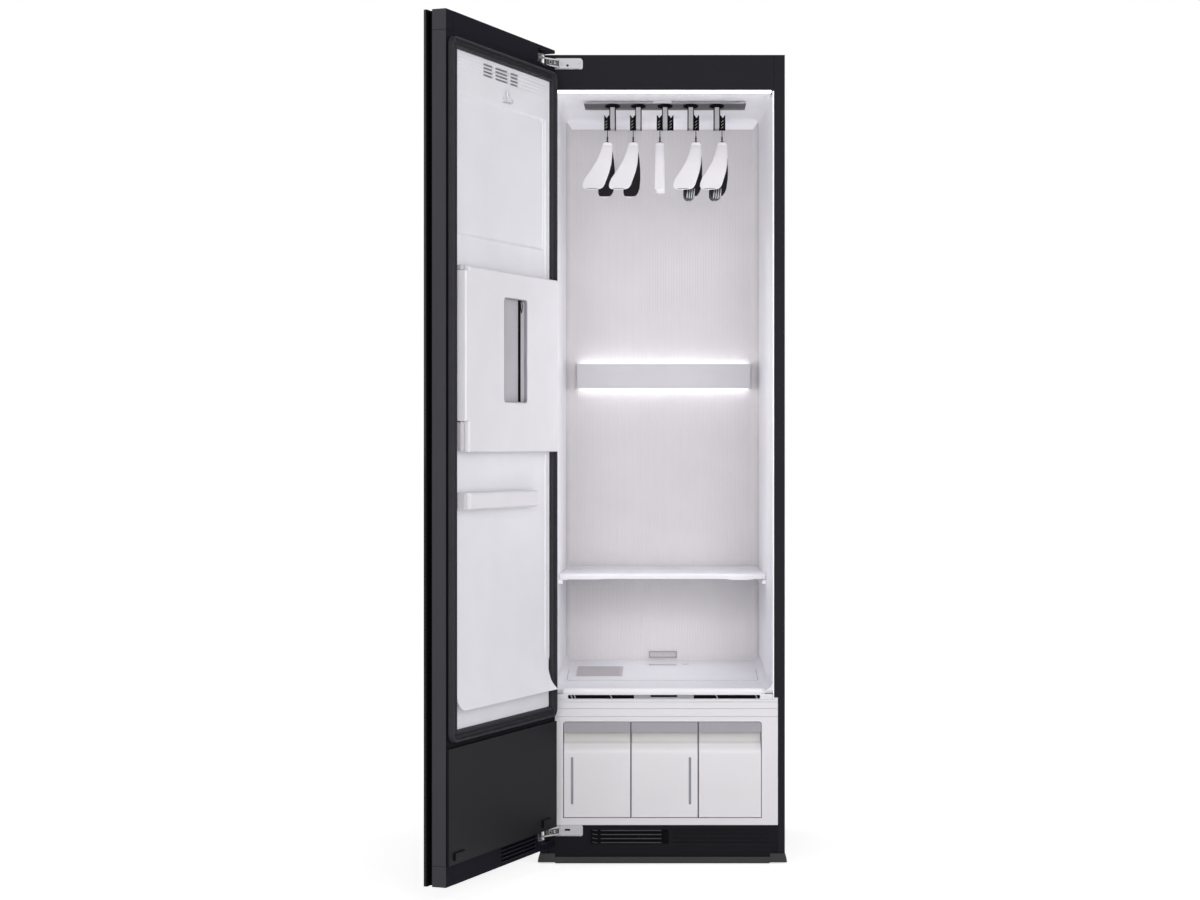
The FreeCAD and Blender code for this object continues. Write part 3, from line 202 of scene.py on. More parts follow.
def coated_sheet(name, color, rough, shine=0.15):
    """Painted steel: satin paint with an orange-peel ripple."""
    material, base = shader(name, Specular_IOR_Level=shine)
    tint(material, base, noise(material, 5), srgb(*color), 0.03)
    grained(material, base, 420, (rough - 0.04, rough + 0.05), 0.00003)
    return material


def dark_glass(name, color):
    """Printed black glass: nearly black body under a smooth clear surface."""
    material, base = shader(name, Specular_IOR_Level=0.25)
    tint(material, base, noise(material, 3), srgb(*color), 0.05)
    grained(material, base, 12, (0.07, 0.1), 0.00002, 1)
    return material


def glowing(name, color, strength):
    """Milky diffuser with light behind it."""
    material, base = shader(name, Roughness=0.5, Emission_Color=(1, 1, 1, 1), Emission_Strength=strength)
    tint(material, base, noise(material, 60), srgb(*color), 0.01)
    return material


def felted(name, color):
    """Pressed fibres."""
    material, base = shader(name, Roughness=0.95, Sheen_Weight=0.4)
    fibres = noise(material, 1500, 5, (1, 1, 0.25))
    tint(material, base, fibres, srgb(*color), 0.25)
    roughen(material, base, fibres, 0.0004)
    return material


def rubbery(name, color):
    """Soft seal: matte with a slight bloom."""
    material, base = shader(name, Specular_IOR_Level=0.15)
    tint(material, base, noise(material, 30, 3), srgb(*color), 0.1)
    grained(material, base, 3000, (0.5, 0.64), 0.00003)
    return material


def faced_with_painted_shade(name, color, inner, depth):
    """White face of a frame whose inside, deeper than depth along Y, is painted darker as the shade in the
    gaps round the boxes.
    """
    material, base = shader(name)
    where = add_node(material, "ShaderNodeTexCoord")
    parts = add_node(material, "ShaderNodeSeparateXYZ")
    deeper = add_node(material, "ShaderNodeMath", operation="GREATER_THAN")
    deeper.inputs[1].default_value = depth * MM
    mix = add_node(material, "ShaderNodeMix", data_type="RGBA", A=srgb(*color), B=srgb(*inner))
    link(material, where, "Object", parts, "Vector")
    link(material, parts, "Y", deeper, 0)
    link(material, deeper, 0, mix, "Factor")
    drift = add_node(material, "ShaderNodeVectorMath", operation="SCALE")
    link(material, mix, "Result", drift, "Vector")
    link(material, ranged(material, noise(material, 9), "Fac", 0.97, 1.0), "Result", drift, "Scale")
    link(material, drift, "Vector", base, "Base Color")
    grained(material, base, 2400, (0.32, 0.42), 0.00002)
    return material


def clear_window(name, color):
    """Sight window of a tank: frosted, slightly clear plastic."""
    material, base = shader(name, Transmission_Weight=0.35, IOR=1.46)
    tint(material, base, noise(material, 80), srgb(*color), 0.04)
    vary_roughness(material, base, noise(material, 2600), 0.12, 0.22)
    return material


BLACK_PLASTIC = moulded("black_plastic", (22, 20, 24), 0.5, 1800, 0.00005, 0.05, shine=0.12)
KICK_BLACK = moulded("kick_black", (10, 9, 15), 0.5, 1800, 0.00005, 0.05, shine=0.09)
FRAME_BLACK = moulded("door_frame_black", (19, 18, 28), 0.5, 1800, 0.00004, 0.04, shine=0.02)
# a lighter copy of the door's black: painted light on the face of the door's free edge
EDGE_BLACK_PAINTED_LIGHT = moulded("door_black", (52, 51, 56), 0.45, 1800, 0.00004, 0.04, shine=0.15)
# near-black for black parts, and for strips and sheets that paint the shade in grooves, slots and round the
# holders
NEAR_BLACK_AND_PAINTED_SHADE = moulded("near_black_and_painted_shade", (8, 8, 9), 0.6, 1800, 0.00003, 0.04, shine=0.05)
# painted shade: dark fill for the inside of slots, seams and hollows
PAINTED_GAP_SHADE = moulded("painted_gap_shade", (14, 14, 16), 0.7, 1500, 0.00003, 0.06, shine=0.05)
SLAT_GREY = moulded("slat_grey", (66, 65, 70), 0.45, 1500, 0.00003, 0.06, shine=0.2)
WHITE = moulded("white_plastic", (214, 212, 217), 0.36)
CHAMBER_WHITE = moulded("chamber_white", (246, 245, 249), 0.42, 1600, shine=0.4)
BACK_WHITE = moulded("back_white", (210, 207, 210), 0.42, 1600, shine=0.4)
TRAY_WHITE = moulded("tray_white", (229, 228, 233), 0.42, 1600, shine=0.4)
LINER_WHITE = moulded("liner_white", (228, 227, 233), 0.4, 1600, 0.00004)
PRESS_WHITE = moulded("press_white", (224, 222, 227), 0.38)
TANK_WHITE = moulded("tank_white", (215, 212, 216), 0.33)
# a darker copy of the tank white: painted shade in the upper part of each finger scoop
SCOOP_PAINTED_SHADE = moulded("scoop_painted_shade", (190, 188, 187), 0.36)
LID_GREY = moulded("lid_grey", (146, 143, 150), 0.4)
SLOT_GREY = moulded("slot_grey", (150, 149, 155), 0.5)
BAR_COVER = moulded("bar_cover", (200, 198, 203), 0.4)
PAD_GREY = moulded("pad_grey", (172, 169, 176), 0.55, 700, 0.0002, 0.05)
RAIL_GREY = moulded("rail_grey", (72, 71, 75), 0.4, 2000, 0.00003, 0.05, shine=0.3)
RAIL_EDGE = moulded("rail_edge", (90, 88, 92), 0.35, 2000, 0.00003, 0.05)
HOLDER_GREY = moulded("holder_grey", (160, 159, 164), 0.4, 2200, 0.00003, 0.03)
CLIP_BLACK = moulded("clip_black", (26, 24, 28), 0.4, 2200, 0.00003, 0.05, shine=0.25)
HANGER_WHITE = moulded("hanger_white", (244, 242, 246), 0.34, 2600, 0.00002, 0.015, 0.2)
HANGER_DARK_UNDERSIDE = moulded("hanger_dark_underside", (27, 24, 28), 0.55, 1800, 0.00008, 0.06, shine=0.08)
DIFFUSER = glowing("light_diffuser", (250, 250, 252), 4.0)
GAUGE = clear_window("sight_gauge", (150, 154, 164))
NICKEL = metal("hinge_nickel", (146, 145, 148), 0.42, 500, 0.00003)
CORE_STEEL = metal("core_steel", (96, 95, 99), 0.4, 500, 0.00003)
LINK_STEEL = metal("link_steel", (212, 211, 213), 0.36, 500, 0.00003)
WIRE_STEEL = metal("wire_steel", (150, 151, 154), 0.35, 700)
RUBBER = rubbery("gasket_rubber", (42, 41, 46))
PANEL_BLACK = moulded("foot_panel_black", (20, 18, 21), 0.5, 1800, 0.00005, 0.05, shine=0.1)

# The finish of the nodes that are seen as the CAD model has them.
NODE_LOOKS = {
    "side_panel_left side_panel_right top_panel front_header":
        coated_sheet("paint_black", (15, 14, 22), 0.5, 0.12),
    "back_panel": coated_sheet("paint_rear", (150, 151, 153), 0.5),
    "cord_gland levelling_feet blower_wheel": BLACK_PLASTIC,
    "kick_panel": KICK_BLACK,
    "door_spacer": NEAR_BLACK_AND_PAINTED_SHADE,
    "door_frame": FRAME_BLACK,
    "plinth": moulded("plinth_black", (50, 49, 49), 0.5, 1500, 0.00006, 0.06, shine=0.2),
    "chamber_side_walls": CHAMBER_WHITE,
    # the bay frame's inside is painted darker: painted shade in the gaps round the boxes
    "tank_bay_frame": faced_with_painted_shade("bay_frame_white_painted_shade", (214, 212, 217), (84, 83, 88), 4),
    "back_light_cover door_brackets": BAR_COVER,
    "outlet_fittings air_ducts press_base": moulded("grey_plastic", (186, 182, 186), 0.45),
    "light_strips": DIFFUSER,
    "door_glass": dark_glass("door_glass", (7, 7, 9)),
    "base_pan blower_motor rail_crank steam_generator_and_pumps":
        metal("galvanised", (180, 182, 184), 0.45, 120, 0.00004),
    "heat_exchangers": metal("fin_aluminium", (200, 201, 203), 0.3, 200, stretch=(1, 20, 1)),
    "compressor rail_drive_motor": coated_sheet("machine_black", (40, 40, 42), 0.35, 0.4),
    "chamber_insulation door_insulation": felted("felt", (120, 120, 124)),
    "control_board": moulded("board_green", (30, 96, 60), 0.3, 400, 0.0001, 0.3, 0.6),
    "lint_screen": moulded("screen_mesh", (170, 170, 175), 0.6, 900, 0.0003, 0.2),
}


def dress_nodes():
    """Give every CAD node its finish."""
    for names, material in NODE_LOOKS.items():
        for name in names.split():
            mesh = frame["nodes"][name].data
            mesh.materials.clear()
            mesh.materials.append(material)


# ---------------------------------------------------------------- shaping

PLANES = {
    "xz": lambda a, b, deep: (a, deep, b),
    "yz": lambda a, b, deep: (deep, a, b),
    "xy": lambda a, b, deep: (a, b, deep),
}


def arc(a, b, radius, start, end, steps, tall=None):
    """Points from start to end, in degrees, on a circle, or on an ellipse whose second radius is tall."""
    tall = radius if tall is None else tall
    return [(a + radius * math.cos(turn), b + tall * math.sin(turn))
            for turn in map(math.radians, spread(start, end, steps))]


def circle(a, b, radius, count, tall=None):
    """Outline of a circle or an ellipse, with count corners."""
    return arc(a, b, radius, 0, 360 - 360 / count, count - 1, tall)


def rounded(left, low, right, high, radius):
    """Outline of a rectangle with round corners; radius may give all four, from the low left one."""
    steps = 6
    radii = radius if isinstance(radius, tuple) else (radius,) * 4
    corners = ((left, low, 1, 1), (right, low, -1, 1), (right, high, -1, -1), (left, high, 1, -1))
    outline = []
    for (a, b, inward, upward), start, size in zip(corners, (180, 270, 0, 90), radii):
        if size == 0:
            outline.append((a, b))
        else:
            outline += arc(a + inward * size, b + upward * size, size, start, start + 90, steps)
    return outline


def spread(start, end, count):
    """Evenly spaced numbers from start to end."""
    return [start + (end - start) * step / count for step in range(count + 1)]


def smooth_step(value):
    value = min(1, max(0, value))
    return value * value * (3 - 2 * value)


class Form:
    """Solids in millimetres that become one piece; look picks the material of what is added."""

    def __init__(self):
        self.mesh = bmesh.new()
        self.look = 0

    def paint(self, known, bend=None):
        """Give the faces made since known the present look, and bend their points."""
        fresh = [face for face in self.mesh.faces if face not in known]
        for face in fresh:
            face.material_index = self.look
        if bend:
            for vertex in {vertex for face in fresh for vertex in face.verts}:
                vertex.co = bend(vertex.co)

    def bevel(self, edges, soft, steps=2):
        bmesh.ops.bevel(self.mesh, geom=list(edges), offset=soft, segments=steps, profile=0.5,
                        affect="EDGES", clamp_overlap=True)

    def box(self, low, high, soft, bend=None):
        """A block between two corners with every edge rounded."""
        known = set(self.mesh.faces)
        low, high = Vector(low), Vector(high)
        made = bmesh.ops.create_cube(self.mesh, size=1)["verts"]
        for vertex in made:
            vertex.co = (low + high) / 2 + Vector(part * side for part, side in zip(vertex.co, high - low))
        if soft:
            self.bevel({edge for vertex in made for edge in vertex.link_edges}, soft)
        self.paint(known, bend)

    def slab(self, plane, loops, start, end, soft, steps=2, bend=None, both=True):
        """A flat outline, with any holes after it, from start to end; both rounds the rims at both ends."""
        known = set(self.mesh.faces)
        place = PLANES[plane]
        rings = [[self.mesh.verts.new(place(a, b, start)) for a, b in loop] for loop in loops]
        twins = {vertex: self.mesh.verts.new(vertex.co + Vector(place(0, 0, end - start)))
                 for ring in rings for vertex in ring}
        if len(rings) == 1:
            faces = [self.mesh.faces.new(rings[0])]
        else:
            edges = [self.mesh.edges.new((ring[at - 1], ring[at]))
                     for ring in rings for at in range(len(ring))]
            filled = bmesh.ops.triangle_fill(self.mesh, edges=edges, use_beauty=True)["geom"]
            faces = [item for item in filled if isinstance(item, bmesh.types.BMFace)]
        for face in faces:
            self.mesh.faces.new([twins[vertex] for vertex in reversed(face.verts)])
        rims = []
        for ring in rings:
            for at, vertex in enumerate(ring):
                before = ring[at - 1]
                self.mesh.faces.new((before, vertex, twins[vertex], twins[before]))
                rims.append(self.mesh.edges.get((before, vertex)))
                if both:
                    rims.append(self.mesh.edges.get((twins[before], twins[vertex])))
        if soft:
            fresh = [face for face in self.mesh.faces if face not in known]
            bmesh.ops.recalc_face_normals(self.mesh, faces=fresh)
            self.bevel(rims, soft, steps)
        self.paint(known, bend)

    def sheet(self, near, far, kept=lambda i, j: True):
        """A skin between two grids of points; kept says which cells are there."""
        known = set(self.mesh.faces)
        near = [[self.mesh.verts.new(point) for point in line] for line in near]
        far = [[self.mesh.verts.new(point) for point in line] for line in far]
        wide, tall = len(near) - 1, len(near[0]) - 1
        there = [[kept(i, j) for j in range(tall)] for i in range(wide)]
        for i in range(wide):
            for j in range(tall):
                if not there[i][j]:
                    continue
                corners = ((i, j), (i + 1, j), (i + 1, j + 1), (i, j + 1))
                self.mesh.faces.new([near[a][b] for a, b in corners])
                self.mesh.faces.new([far[a][b] for a, b in reversed(corners)])
                for a, (side, up) in enumerate(((0, -1), (1, 0), (0, 1), (-1, 0))):
                    if 0 <= i + side < wide and 0 <= j + up < tall and there[i + side][j + up]:
                        continue
                    (p, q), (r, s) = corners[a], corners[(a + 1) % 4]
                    self.mesh.faces.new((near[r][s], near[p][q], far[p][q], far[r][s]))
        self.paint(known)

    def relief(self, across, up, front, back, hole=lambda x, z: False):
        """An upright sheet whose front follows a rule of X and Z; hole says where it is open."""
        near = [[(x, front(x, z), z) for z in up] for x in across]
        far = [[(x, back, z) for z in up] for x in across]

        def kept(i, j):
            return not hole((across[i] + across[i + 1]) / 2, (up[j] + up[j + 1]) / 2)
        self.sheet(near, far, kept)

    def loft(self, rings, closed=False, look_of=None):
        """A skin through rings of equal count; look_of(i, j) picks the look of one face."""
        known = set(self.mesh.faces)
        rings = [[self.mesh.verts.new(point) for point in ring] for ring in rings]
        count = len(rings[0])
        stop = len(rings) if closed else len(rings) - 1
        special = []
        for i in range(stop):
            first, second = rings[i], rings[(i + 1) % len(rings)]
            for j in range(count):
                nxt = (j + 1) % count
                face = self.mesh.faces.new((first[j], first[nxt], second[nxt], second[j]))
                if look_of:
                    special.append((face, look_of(i, j)))
        if not closed:
            self.mesh.faces.new(list(reversed(rings[0])))
            self.mesh.faces.new(rings[-1])
        self.paint(known)
        for face, look in special:
            face.material_index = look

    def sweep(self, path, profile, normal, closed=False):
        """A profile (out, up) carried along a flat path; up is the path's normal."""
        normal = Vector(normal)
        path = [Vector(point) for point in path]
        rings = []
        for at, point in enumerate(path):
            after = path[(at + 1) % len(path)] if closed or at + 1 < len(path) else point
            before = path[at - 1] if closed or at else point
            out = (after - before).normalized().cross(normal)
            rings.append([point + out * a + normal * b for a, b in profile])
        self.loft(rings, closed)

    def wire(self, path, radius, normal):
        """Round wire along a flat path."""
        self.sweep(path, circle(0, 0, radius, 12), normal)

    def rod(self, start, end, radius, soft=0.5, sides=28):
        """A round bar between two points with softened rims."""
        known = set(self.mesh.faces)
        start, end = Vector(start), Vector(end)
        axis = end - start
        made = bmesh.ops.create_cone(self.mesh, cap_ends=True, segments=sides, radius1=radius, radius2=radius,
                                     depth=axis.length)["verts"]
        turn = axis.to_track_quat("Z", "Y").to_matrix()
        if soft:
            ends = [edge for vertex in made for edge in vertex.link_edges
                    if abs(edge.verts[0].co.z - edge.verts[1].co.z) < 0.001]
            others = set(self.mesh.verts) - set(made)
            self.bevel(set(ends), soft)
            made = [vertex for vertex in self.mesh.verts if vertex not in others]
        for vertex in made:
            vertex.co = turn @ vertex.co + (start + end) / 2
        self.paint(known)


def piece(form, name, looks, body="cabinet", stands_for=(), smooth=38, flat=True):
    """Turn a form into a piece of the part that rides on a body."""
    bmesh.ops.remove_doubles(form.mesh, verts=form.mesh.verts[:], dist=0.0005)
    loose = [vertex for vertex in form.mesh.verts if not vertex.link_faces]
    bmesh.ops.delete(form.mesh, geom=loose, context="VERTS")
    bmesh.ops.recalc_face_normals(form.mesh, faces=form.mesh.faces[:])
    bmesh.ops.scale(form.mesh, vec=(MM, MM, MM), verts=form.mesh.verts[:])
    mesh = bpy.data.meshes.new(name)
    form.mesh.to_mesh(mesh)
    form.mesh.free()
    for look in looks:
        mesh.materials.append(look)
    mesh.shade_smooth()
    mesh.set_sharp_from_angle(angle=math.radians(smooth))
    made = bpy.data.objects.new(name, mesh)
    SCENE.collection.objects.link(made)
    if body in DOOR_BODIES:
        made.matrix_world = DOOR_OPEN
    if flat:
        made.modifiers.new("flat_faces", "WEIGHTED_NORMAL").keep_sharp = True
    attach(made, body)
    if stands_for:
        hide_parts(*stands_for)
    return made


def soften(width, *names):
    """Round the sharp edges of CAD nodes with a bevel modifier."""
    for name in names:
        bevel = frame["nodes"][name].modifiers.new("soft_edges", "BEVEL")
        bevel.width = width * MM
        bevel.segments = 2
        bevel.limit_method = "ANGLE"
        bevel.angle_limit = math.radians(40)
        bevel.harden_normals = True


# ---------------------------------------------------------------- steam chamber

def back_wall():
    """Chamber back with shallow upright flutes, sides that round forward and the sensor cover's rim."""
    low, high = box("chamber_back_wall")
    count, pitch, depth, steps = 67, 7.06, 0.45, 8
    corner, edge = 16.5, 253.3
    start = -pitch * count / 2
    columns = [start + pitch * step / steps for step in range(count * steps + 1)]
    columns += [side * x for side in (-1, 1) for x in spread(edge - corner, edge, 10)]
    columns.sort()

    def front(x, z):
        if abs(x) >= -start:
            return low.y - edge_round(edge - abs(x), corner)
        return low.y + depth * (0.5 - 0.5 * math.cos(2 * math.pi * (x - start) / pitch))
    form = Form()
    form.relief(columns, [low.z, 460, 1200, high.z], front, high.y)
    form.look = 1
    face = low.y - 2.6
    left, under, right, over, rim = -35.5, 453.5, 38, 471.5, 3.4
    opening = rounded(left + rim, under + rim, right - rim, over - rim, 2)
    form.slab("xz", [rounded(left, under, right, over, 1.5), opening], low.y - 4.2, face, 0.4)
    form.rod((1, low.y - 3.6, 462.5), (1, face, 462.5), 1.4, 0.3)
    piece(form, "fluted_back_wall", [BACK_WHITE, SLOT_GREY], stands_for=["chamber_back_wall"], smooth=60,
          flat=False)


def corner_fillet(form, radius, level, rising, near, far):
    """Round the corner between both side walls and a ceiling (rising -1) or a floor (rising 1)."""
    bury = 1.5
    outline = [(-bury, -1), (radius, -1)] + arc(radius, radius, radius, 270, 180, 10) + [(-bury, radius)]
    for side in (-1, 1):
        def lay(point, side=side):
            across = side * (chamber_half(point.y) - point.x)
            return Vector((across, point.y, level(point.y) + rising * point.z))
        form.slab("xz", [outline], near, far, 0, bend=lay)


def ceiling():
    """Ceiling plate with a slot for the rail's stem, its tracks, a cove at the back and round sides."""
    low, high = box("chamber_ceiling")
    deck, cove, wall = 1873.2, 27, 504.8
    slot = (-46, 172, 46, 188)
    form = Form()
    plate = [(low.x, low.y), (high.x, low.y), (high.x, high.y), (low.x, high.y)]
    form.slab("xy", [plate, rounded(*slot, 6)], deck, deck + 3.8, 0.5)
    curve = arc(wall - cove, deck - cove, cove, 90, 0, 12)
    form.slab("yz", [[(wall - cove, deck + 2)] + curve + [(wall, deck + 2)]], -252.7, 252.7, 0)
    for near, far in ((158, 171.5), (188.5, 202)):
        form.box((-70, near, deck + 3.6), (70, far, high.z), 1)
    corner_fillet(form, 20, lambda y: deck, -1, 66, 486)
    piece(form, "ceiling_with_cove", [CHAMBER_WHITE], stands_for=["chamber_ceiling"])


def light_strips():
    """Light under the header, a glowing edge on a white housing, and the two strips of the wall bar."""
    low, high = box("light_strips")
    left, right, strip = -262, 264, 13
    bar_left, bar_right = -219, 226
    form = Form()
    form.box((left, 5, 1869.6), (right, 13, 1878.4), 0.8)
    for bottom in (low.z, 1206.5):
        form.box((bar_left, 486, bottom), (bar_right, high.y - 1, bottom + strip), 1)
    form.look = 1
    form.box((left, 12, 1869.8), (right, 64, 1877), 0.4)
    form.look = 2
    for x in (bar_left - 3.4, bar_right + 3.4):
        form.box((x - 1.5, 485.2, 1164), (x + 1.5, high.y, 1227), 0.3)
    piece(form, "light_strip_set", [DIFFUSER, CHAMBER_WHITE, BAR_COVER], stands_for=["light_strips"])


# The chamber's floor is level back to FLOOR_FLAT and rises from there to APRON_HIGH at its back.
FLOOR_FLAT, FLOOR_LEVEL, APRON_HIGH, CHAMBER_DEPTH = 195, 420, 448, 504.7


def chamber_half(y):
    """Half the width between the tapered side walls at a depth."""
    front, taper, run = 268, 15, 505
    return front - taper * y / run


def apron(y):
    """Height of the sloping rear floor."""
    share = max(0, y - FLOOR_FLAT) / (CHAMBER_DEPTH - FLOOR_FLAT)
    return FLOOR_LEVEL + (APRON_HIGH - FLOOR_LEVEL) * share


def apron_panel(form):
    """Screwed panel on the sloping rear floor: the vent's opening, a dark seam round it and four marks."""
    def lay(point):
        return Vector((point.x, point.y, point.z + apron(point.y)))
    panel, vent = rounded(-240, 213, 240, 470, 14), rounded(-220, 264.6, -102, 408.4, 4)
    form.slab("xy", [panel, vent], -0.4, 1.1, 0.5, bend=lay)
    for x in (-226, 0, 226):
        for y in (226, 459):
            form.rod((x, y, apron(y) + 0.9), (x, y, apron(y) + 1.9), 3.2, 0.5)
    form.look = 1
    seam = [rounded(-241.2, 211.8, 241.2, 471, 15), rounded(-239.8, 213.4, 239.8, 469.8, 14)]
    form.slab("xy", seam, 0, 0.5, 0, bend=lay)
    for x in (-33, -7, 20, 61):
        form.box((x - 8, 433, apron(435) + 0.9), (x + 8, 436, apron(435) + 1.5), 0.2)


def chamber_floor():
    """Floor tray: a rolled lip with round ends, sides that curve up, a sloping rear and its screwed panel."""
    under, deck, thick = 408.8, FLOOR_LEVEL - 0.7, 3
    lip = [(2.4, under), (0.7, 410.4), (0.1, 413), (0.1, 417), (0.9, 420.6), (3.2, 423.2), (6.8, 424.4),
           (11, 423.9), (17, 421.6), (24, 420.1), (34, 419.4)]
    rear = [FLOOR_FLAT, 200, 265, 408, CHAMBER_DEPTH]
    line = lip + [(150, 419.2)] + [(y, apron(y)) for y in rear]
    round_end = (238, 243, 247, 251, 256, 262)
    columns = [-1000] + [-x for x in reversed(round_end)] + [-219.5, -102.5, 0, 102.5, *round_end, 1000]

    def skin(x, y, z, inward=0):
        half = chamber_half(y) - 0.3
        end = smooth_step((abs(x) - round_end[0]) / 14)
        if y < 36:
            z += (deck - z) * end * (0.9 if z > deck else 0.55)
            y += 9 * end * (1 - y / 36)
        if inward:
            y = y + inward if y < 4 else y
            z = max(z - inward, under)
        return min(half, max(-half, x)), y, z
    near = [[skin(x, y, z) for y, z in line] for x in columns]
    far = [[skin(x, y, z, thick) for y, z in line] for x in columns]
    vent_row = len(line) - 3
    form = Form()
    form.sheet(near, far, lambda i, j: not (columns[i] == -219.5 and j == vent_row))
    corner_fillet(form, 21, lambda y: deck, 1, 3, FLOOR_FLAT)
    corner_fillet(form, 21, apron, 1, FLOOR_FLAT, CHAMBER_DEPTH - 1)
    apron_panel(form)
    piece(form, "floor_tray_and_apron", [TRAY_WHITE, SLOT_GREY], stands_for=["chamber_floor"])


def air_slot():
    """Strip under the floor's lip: one long slot whose inside is painted shade, with ribbed grey blocks and
    slanted ribs.
    """
    under, over, half = 398, 407.8, 267
    form = Form()
    hole = rounded(-229, under + 0.3, 237, over - 0.2, 2.5)
    form.slab("xz", [rounded(-half, 396.8, half, 410, 1), hole], 1.2, 4, 0.7)
    # a dark plate and rims behind the slot paint the shade inside it
    form.look = 1
    form.slab("xz", [rounded(-231, 397.2, 239, 409, 1)], 16, 20, 0)
    for low, high in ((396.9, 398), (407.9, 409)):
        form.box((-231, 3.5, low), (239, 18, high), 0)
    form.look = 2
    for left, right, high, ribs in ((-69, -29, over, 4), (36, 76, over, 4), (-30, 37, 401.5, 1)):
        form.box((left, 4.2, under), (right, 17, high), 0.4)
        for rib in range(ribs):
            level = under + 1.3 + 2.3 * rib
            form.box((left + 1, 3.2, level), (right - 1, 5, level + 0.9), 0.2)
    for x in (-221, -213, -125, 132, 228):
        form.box((x - 1.2, 5, under), (x + 1.2, 16, over), 0.2,
                 bend=lambda point: Vector((point.x + (403 - point.z) * 0.5, point.y, point.z)))
    form.look = 0
    for left, right in ((-half, -240), (246, half)):
        form.box((left, 3.5, 396.8), (right, 26, 409.8), 0.4)
    piece(form, "air_slot_strip", [WHITE, PAINTED_GAP_SHADE, SLOT_GREY], stands_for=["chamber_floor"])


def shelf_board():
    """Tapered shelf whose front rolls down into a lip that dips at a step and at the hand pull."""
    low, high = box("shelf")
    top, front, back = high.z, low.y, high.y
    edge, rear = chamber_half(front) - 1.2, chamber_half(back) - 1.2
    under, roll, thick = top - 14.5, 6.5, 3.6
    dips = ((-edge, -1.5), (-243, -1.5), (-239, 0), (-160, 0), (-154, 1.2), (158, 1.2), (170, -0.6),
            (176, -1.5), (214, -1.5), (220, -0.6), (232, 1.2), (edge, 1.2))
    rise = [(back, top + 5), (back - 6, top + 3.4), (back - 16, top + 1), (back - 34, top)]

    def skin(inward):
        curl = arc(front + roll, top - roll, roll - inward, 90, 180, 8)
        line = [(y, z - inward) for y, z in rise] + curl
        return [[(x * min(1, (chamber_half(y) - 1.2) / edge), y, z)
                 for y, z in line + [(front + inward, under + dip)]] for x, dip in dips]
    form = Form()
    form.sheet(skin(0), skin(thick))
    form.slab("xz", [rounded(171, top - 15.5, 219, top - 3, 2)], front + 3.5, front + 12, 1)
    for side in (-1, 1):
        wall = [(side * (edge - 0.2), front + 3), (side * (edge - 4), front + 3),
                (side * (rear - 4), back), (side * (rear - 0.2), back)]
        form.slab("xy", [wall], top - 15.6, top - 2, 0.6)
    form.box((-rear + 2, back - 4, top - 15.6), (rear - 2, back - 0.2, top - 2), 0.6)
    for x in (-120, 0, 120):
        form.box((x - 1.2, front + 3, top - 12), (x + 1.2, back - 3, top - 3), 0.3)
    piece(form, "shelf_board", [TRAY_WHITE], body="shelf_board", stands_for=["shelf"])


# ---------------------------------------------------------------- lower module

BAY_CORNER = 6


def scoop(z):
    """How far the front of a box lies back at a height: the finger scoop under its grey strip."""
    depth, start, rise = 13.5, 266, 36
    return depth * smooth_step((z - start) / rise)


def edge_round(distance, radius):
    """How far a surface falls back near an edge rounded by radius."""
    gap = max(0, radius - distance)
    return radius - math.sqrt(radius * radius - gap * gap)


def pull_out_box(name, node, body, gauge=None, lid=None):
    """Tub with a scooped front whose upper part carries painted shade, a grey strip above it, and a sight
    gauge on a tank.
    """
    low, high = box(node)
    rim, strip_low, brim = 341.8, 316.6, 338.6
    face, wall, soft = 19, 2.5, 0.6
    round_steps = (0, 0.25, 0.7, 1.3, 2.0)
    across = [low.x + step for step in round_steps] + [high.x - step for step in reversed(round_steps)]
    rows = [low.z + step for step in round_steps] + [240, 262] + spread(266, 302, 14) + [314, 322, brim]

    def front(x, z):
        near = min(x - low.x, high.x - x, z - low.z)
        return low.y + scoop(z) + edge_round(near, 2.0)
    form = Form()
    form.relief(across, rows[:-8], front, face + 1)
    # the upper rows, round the top of the scoop, take the darker white: painted shade
    form.look = 2
    form.relief(across, rows[-9:], front, face + 1)
    form.look = 0
    for left, right in ((low.x, low.x + wall), (high.x - wall, high.x)):
        form.box((left, face, low.z), (right, high.y, brim), soft)
    form.box((low.x + 1, face, low.z), (high.x - 1, high.y, low.z + wall), soft)
    form.box((low.x + 1, high.y - wall, low.z), (high.x - 1, high.y, brim), soft)
    if gauge:
        form.look = 1
        form.slab("xz", [rounded(gauge, 142, gauge + 6, 257, 2.8)], low.y - 0.35, low.y + 3, 0.3)
    looks = [TANK_WHITE, GAUGE, SCOOP_PAINTED_SHADE]
    top = form if lid is None else Form()
    top.look = 3 if lid is None else 0
    corners = (1.2, 1.2, BAY_CORNER if high.x > 230 else 1.2, BAY_CORNER if low.x < -230 else 1.2)
    top.slab("xz", [rounded(low.x, strip_low, high.x, rim, corners)], 0, 3, 0.5)
    top.slab("xy", [rounded(low.x, 2, high.x, high.y, 3)], 338.9, rim, soft)
    if lid is None:
        piece(form, name, looks + [LID_GREY], body=body, stands_for=[node])
        return
    piece(form, name, looks, body=body, stands_for=[node])
    middle = (low.x + high.x) / 2
    top.look = 1
    top.rod((middle, 150, rim - 1), (middle, 150, rim + 0.8), 16, 0.5, 40)
    top.box((middle - 12, 147.5, rim + 0.4), (middle + 12, 152.5, rim + 1.1), 0.2)
    piece(top, lid, [LID_GREY, TANK_WHITE], body=body, stands_for=[node + "_lid"])


def bay_corners():
    """Fillets that round the two upper corners of the bay's opening."""
    half, high, radius, bury = 240.8, 343, BAY_CORNER + 0.6, 1.5
    curve = [(-bury, bury), (radius, bury)] + arc(radius, -radius, radius, 90, 180, 8) + [(-bury, -radius)]
    form = Form()
    for side in (-1, 1):
        form.slab("xz", [[(side * (half - a), high + b) for a, b in curve]], 0.1, 6, 0.2, both=False)
    piece(form, "bay_corner_fillets", [WHITE])


